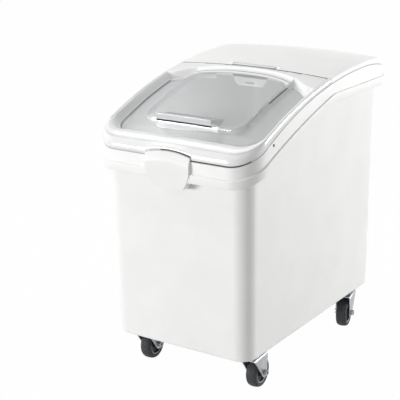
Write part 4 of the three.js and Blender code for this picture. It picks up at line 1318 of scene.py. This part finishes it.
def colour_setting(name, description, value):
    return bpy.props.FloatVectorProperty(
        name=name, description=description, default=hex_colour(value), size=4, min=0, max=1, subtype="COLOR")


def share_setting(name, description, value):
    return bpy.props.FloatProperty(
        name=name, description=description, default=value, min=0, max=1, subtype="FACTOR")


def power_setting(name, value):
    return bpy.props.FloatProperty(
        name=name, description=f"Power of the {name.lower()}", default=value, min=0,
        subtype="POWER", unit="POWER")


class RICEBIN_PG_finish(bpy.types.PropertyGroup):
    white: colour_setting("White", "Colour of the tub and cover", "#f2f2f1")
    white_shade: colour_setting("White shade", "The darker patches of the white plastic", "#eeeeed")
    clear: colour_setting("Clear tint", "Tint of the clear lid and scoop", "#dfe1e2")
    clear_body: share_setting("Lid haze", "How much of the lid shows its own surface when faced", 0.12)
    # How much of the rail's painted white highlight shows when faced
    rail_highlight: share_setting("Rail whiteness", "How white the lid's rolled rail looks when faced", 0.78)
    steel: colour_setting("Steel", "Colour of the zinc plate", "#b4b7b9")
    nylon: colour_setting("Nylon", "Colour of the hubs and snap studs", "#242628")
    rubber: colour_setting("Rubber", "Colour of the tyres", "#323436")


class RICEBIN_PG_stage(bpy.types.PropertyGroup):
    floor: colour_setting("Floor", "Colour of the floor", "#cccccc")
    floor_white: share_setting("Floor whiteness", "Share of plain white that the camera sees", 0.985)
    ambient: bpy.props.FloatProperty(
        name="Ambient", description="Strength of the even light all round", default=0.37, min=0, max=2)
    left_power: power_setting("Left softbox", 605)
    top_power: power_setting("Overhead softbox", 80)
    fill_power: power_setting("Small fill inside the tub", 0.8)
    right_power: power_setting("Right rear softbox", 150)


class RICEBIN_PT_panel(bpy.types.Panel):
    """Lists the steps that make the rice bin"""
    bl_idname = "RICEBIN_PT_panel"
    bl_label = "Rice bin"
    bl_space_type = "VIEW_3D"
    bl_region_type = "UI"
    bl_category = "Rice bin"

    def draw(self, context):
        for group in (context.scene.ricebin_finish, context.scene.ricebin_stage):
            for name in group.bl_rna.properties.keys():
                if name not in ("rna_type", "name"):
                    self.layout.prop(group, name)
        for operator in OPERATORS:
            self.layout.operator(operator.bl_idname)


OPERATORS = (RICEBIN_OT_stage, RICEBIN_OT_finishes, RICEBIN_OT_tub, RICEBIN_OT_cover, RICEBIN_OT_lid,
             RICEBIN_OT_scoop, RICEBIN_OT_wheels, RICEBIN_OT_casters)
CLASSES = (RICEBIN_PG_finish, RICEBIN_PG_stage, *OPERATORS, RICEBIN_PT_panel)


def register():
    for cls in CLASSES:
        bpy.utils.register_class(cls)
    bpy.types.Scene.ricebin_finish = bpy.props.PointerProperty(type=RICEBIN_PG_finish)
    bpy.types.Scene.ricebin_stage = bpy.props.PointerProperty(type=RICEBIN_PG_stage)


def unregister():
    del bpy.types.Scene.ricebin_stage
    del bpy.types.Scene.ricebin_finish
    for cls in reversed(CLASSES):
        bpy.utils.unregister_class(cls)


def main():
    register()
    bpy.ops.ricebin.stage()
    bpy.ops.ricebin.finishes()
    bpy.ops.ricebin.tub()
    bpy.ops.ricebin.cover()
    bpy.ops.ricebin.lid()
    bpy.ops.ricebin.scoop()
    bpy.ops.ricebin.wheels()
    bpy.ops.ricebin.casters()


if __name__ == "__main__":
    main()
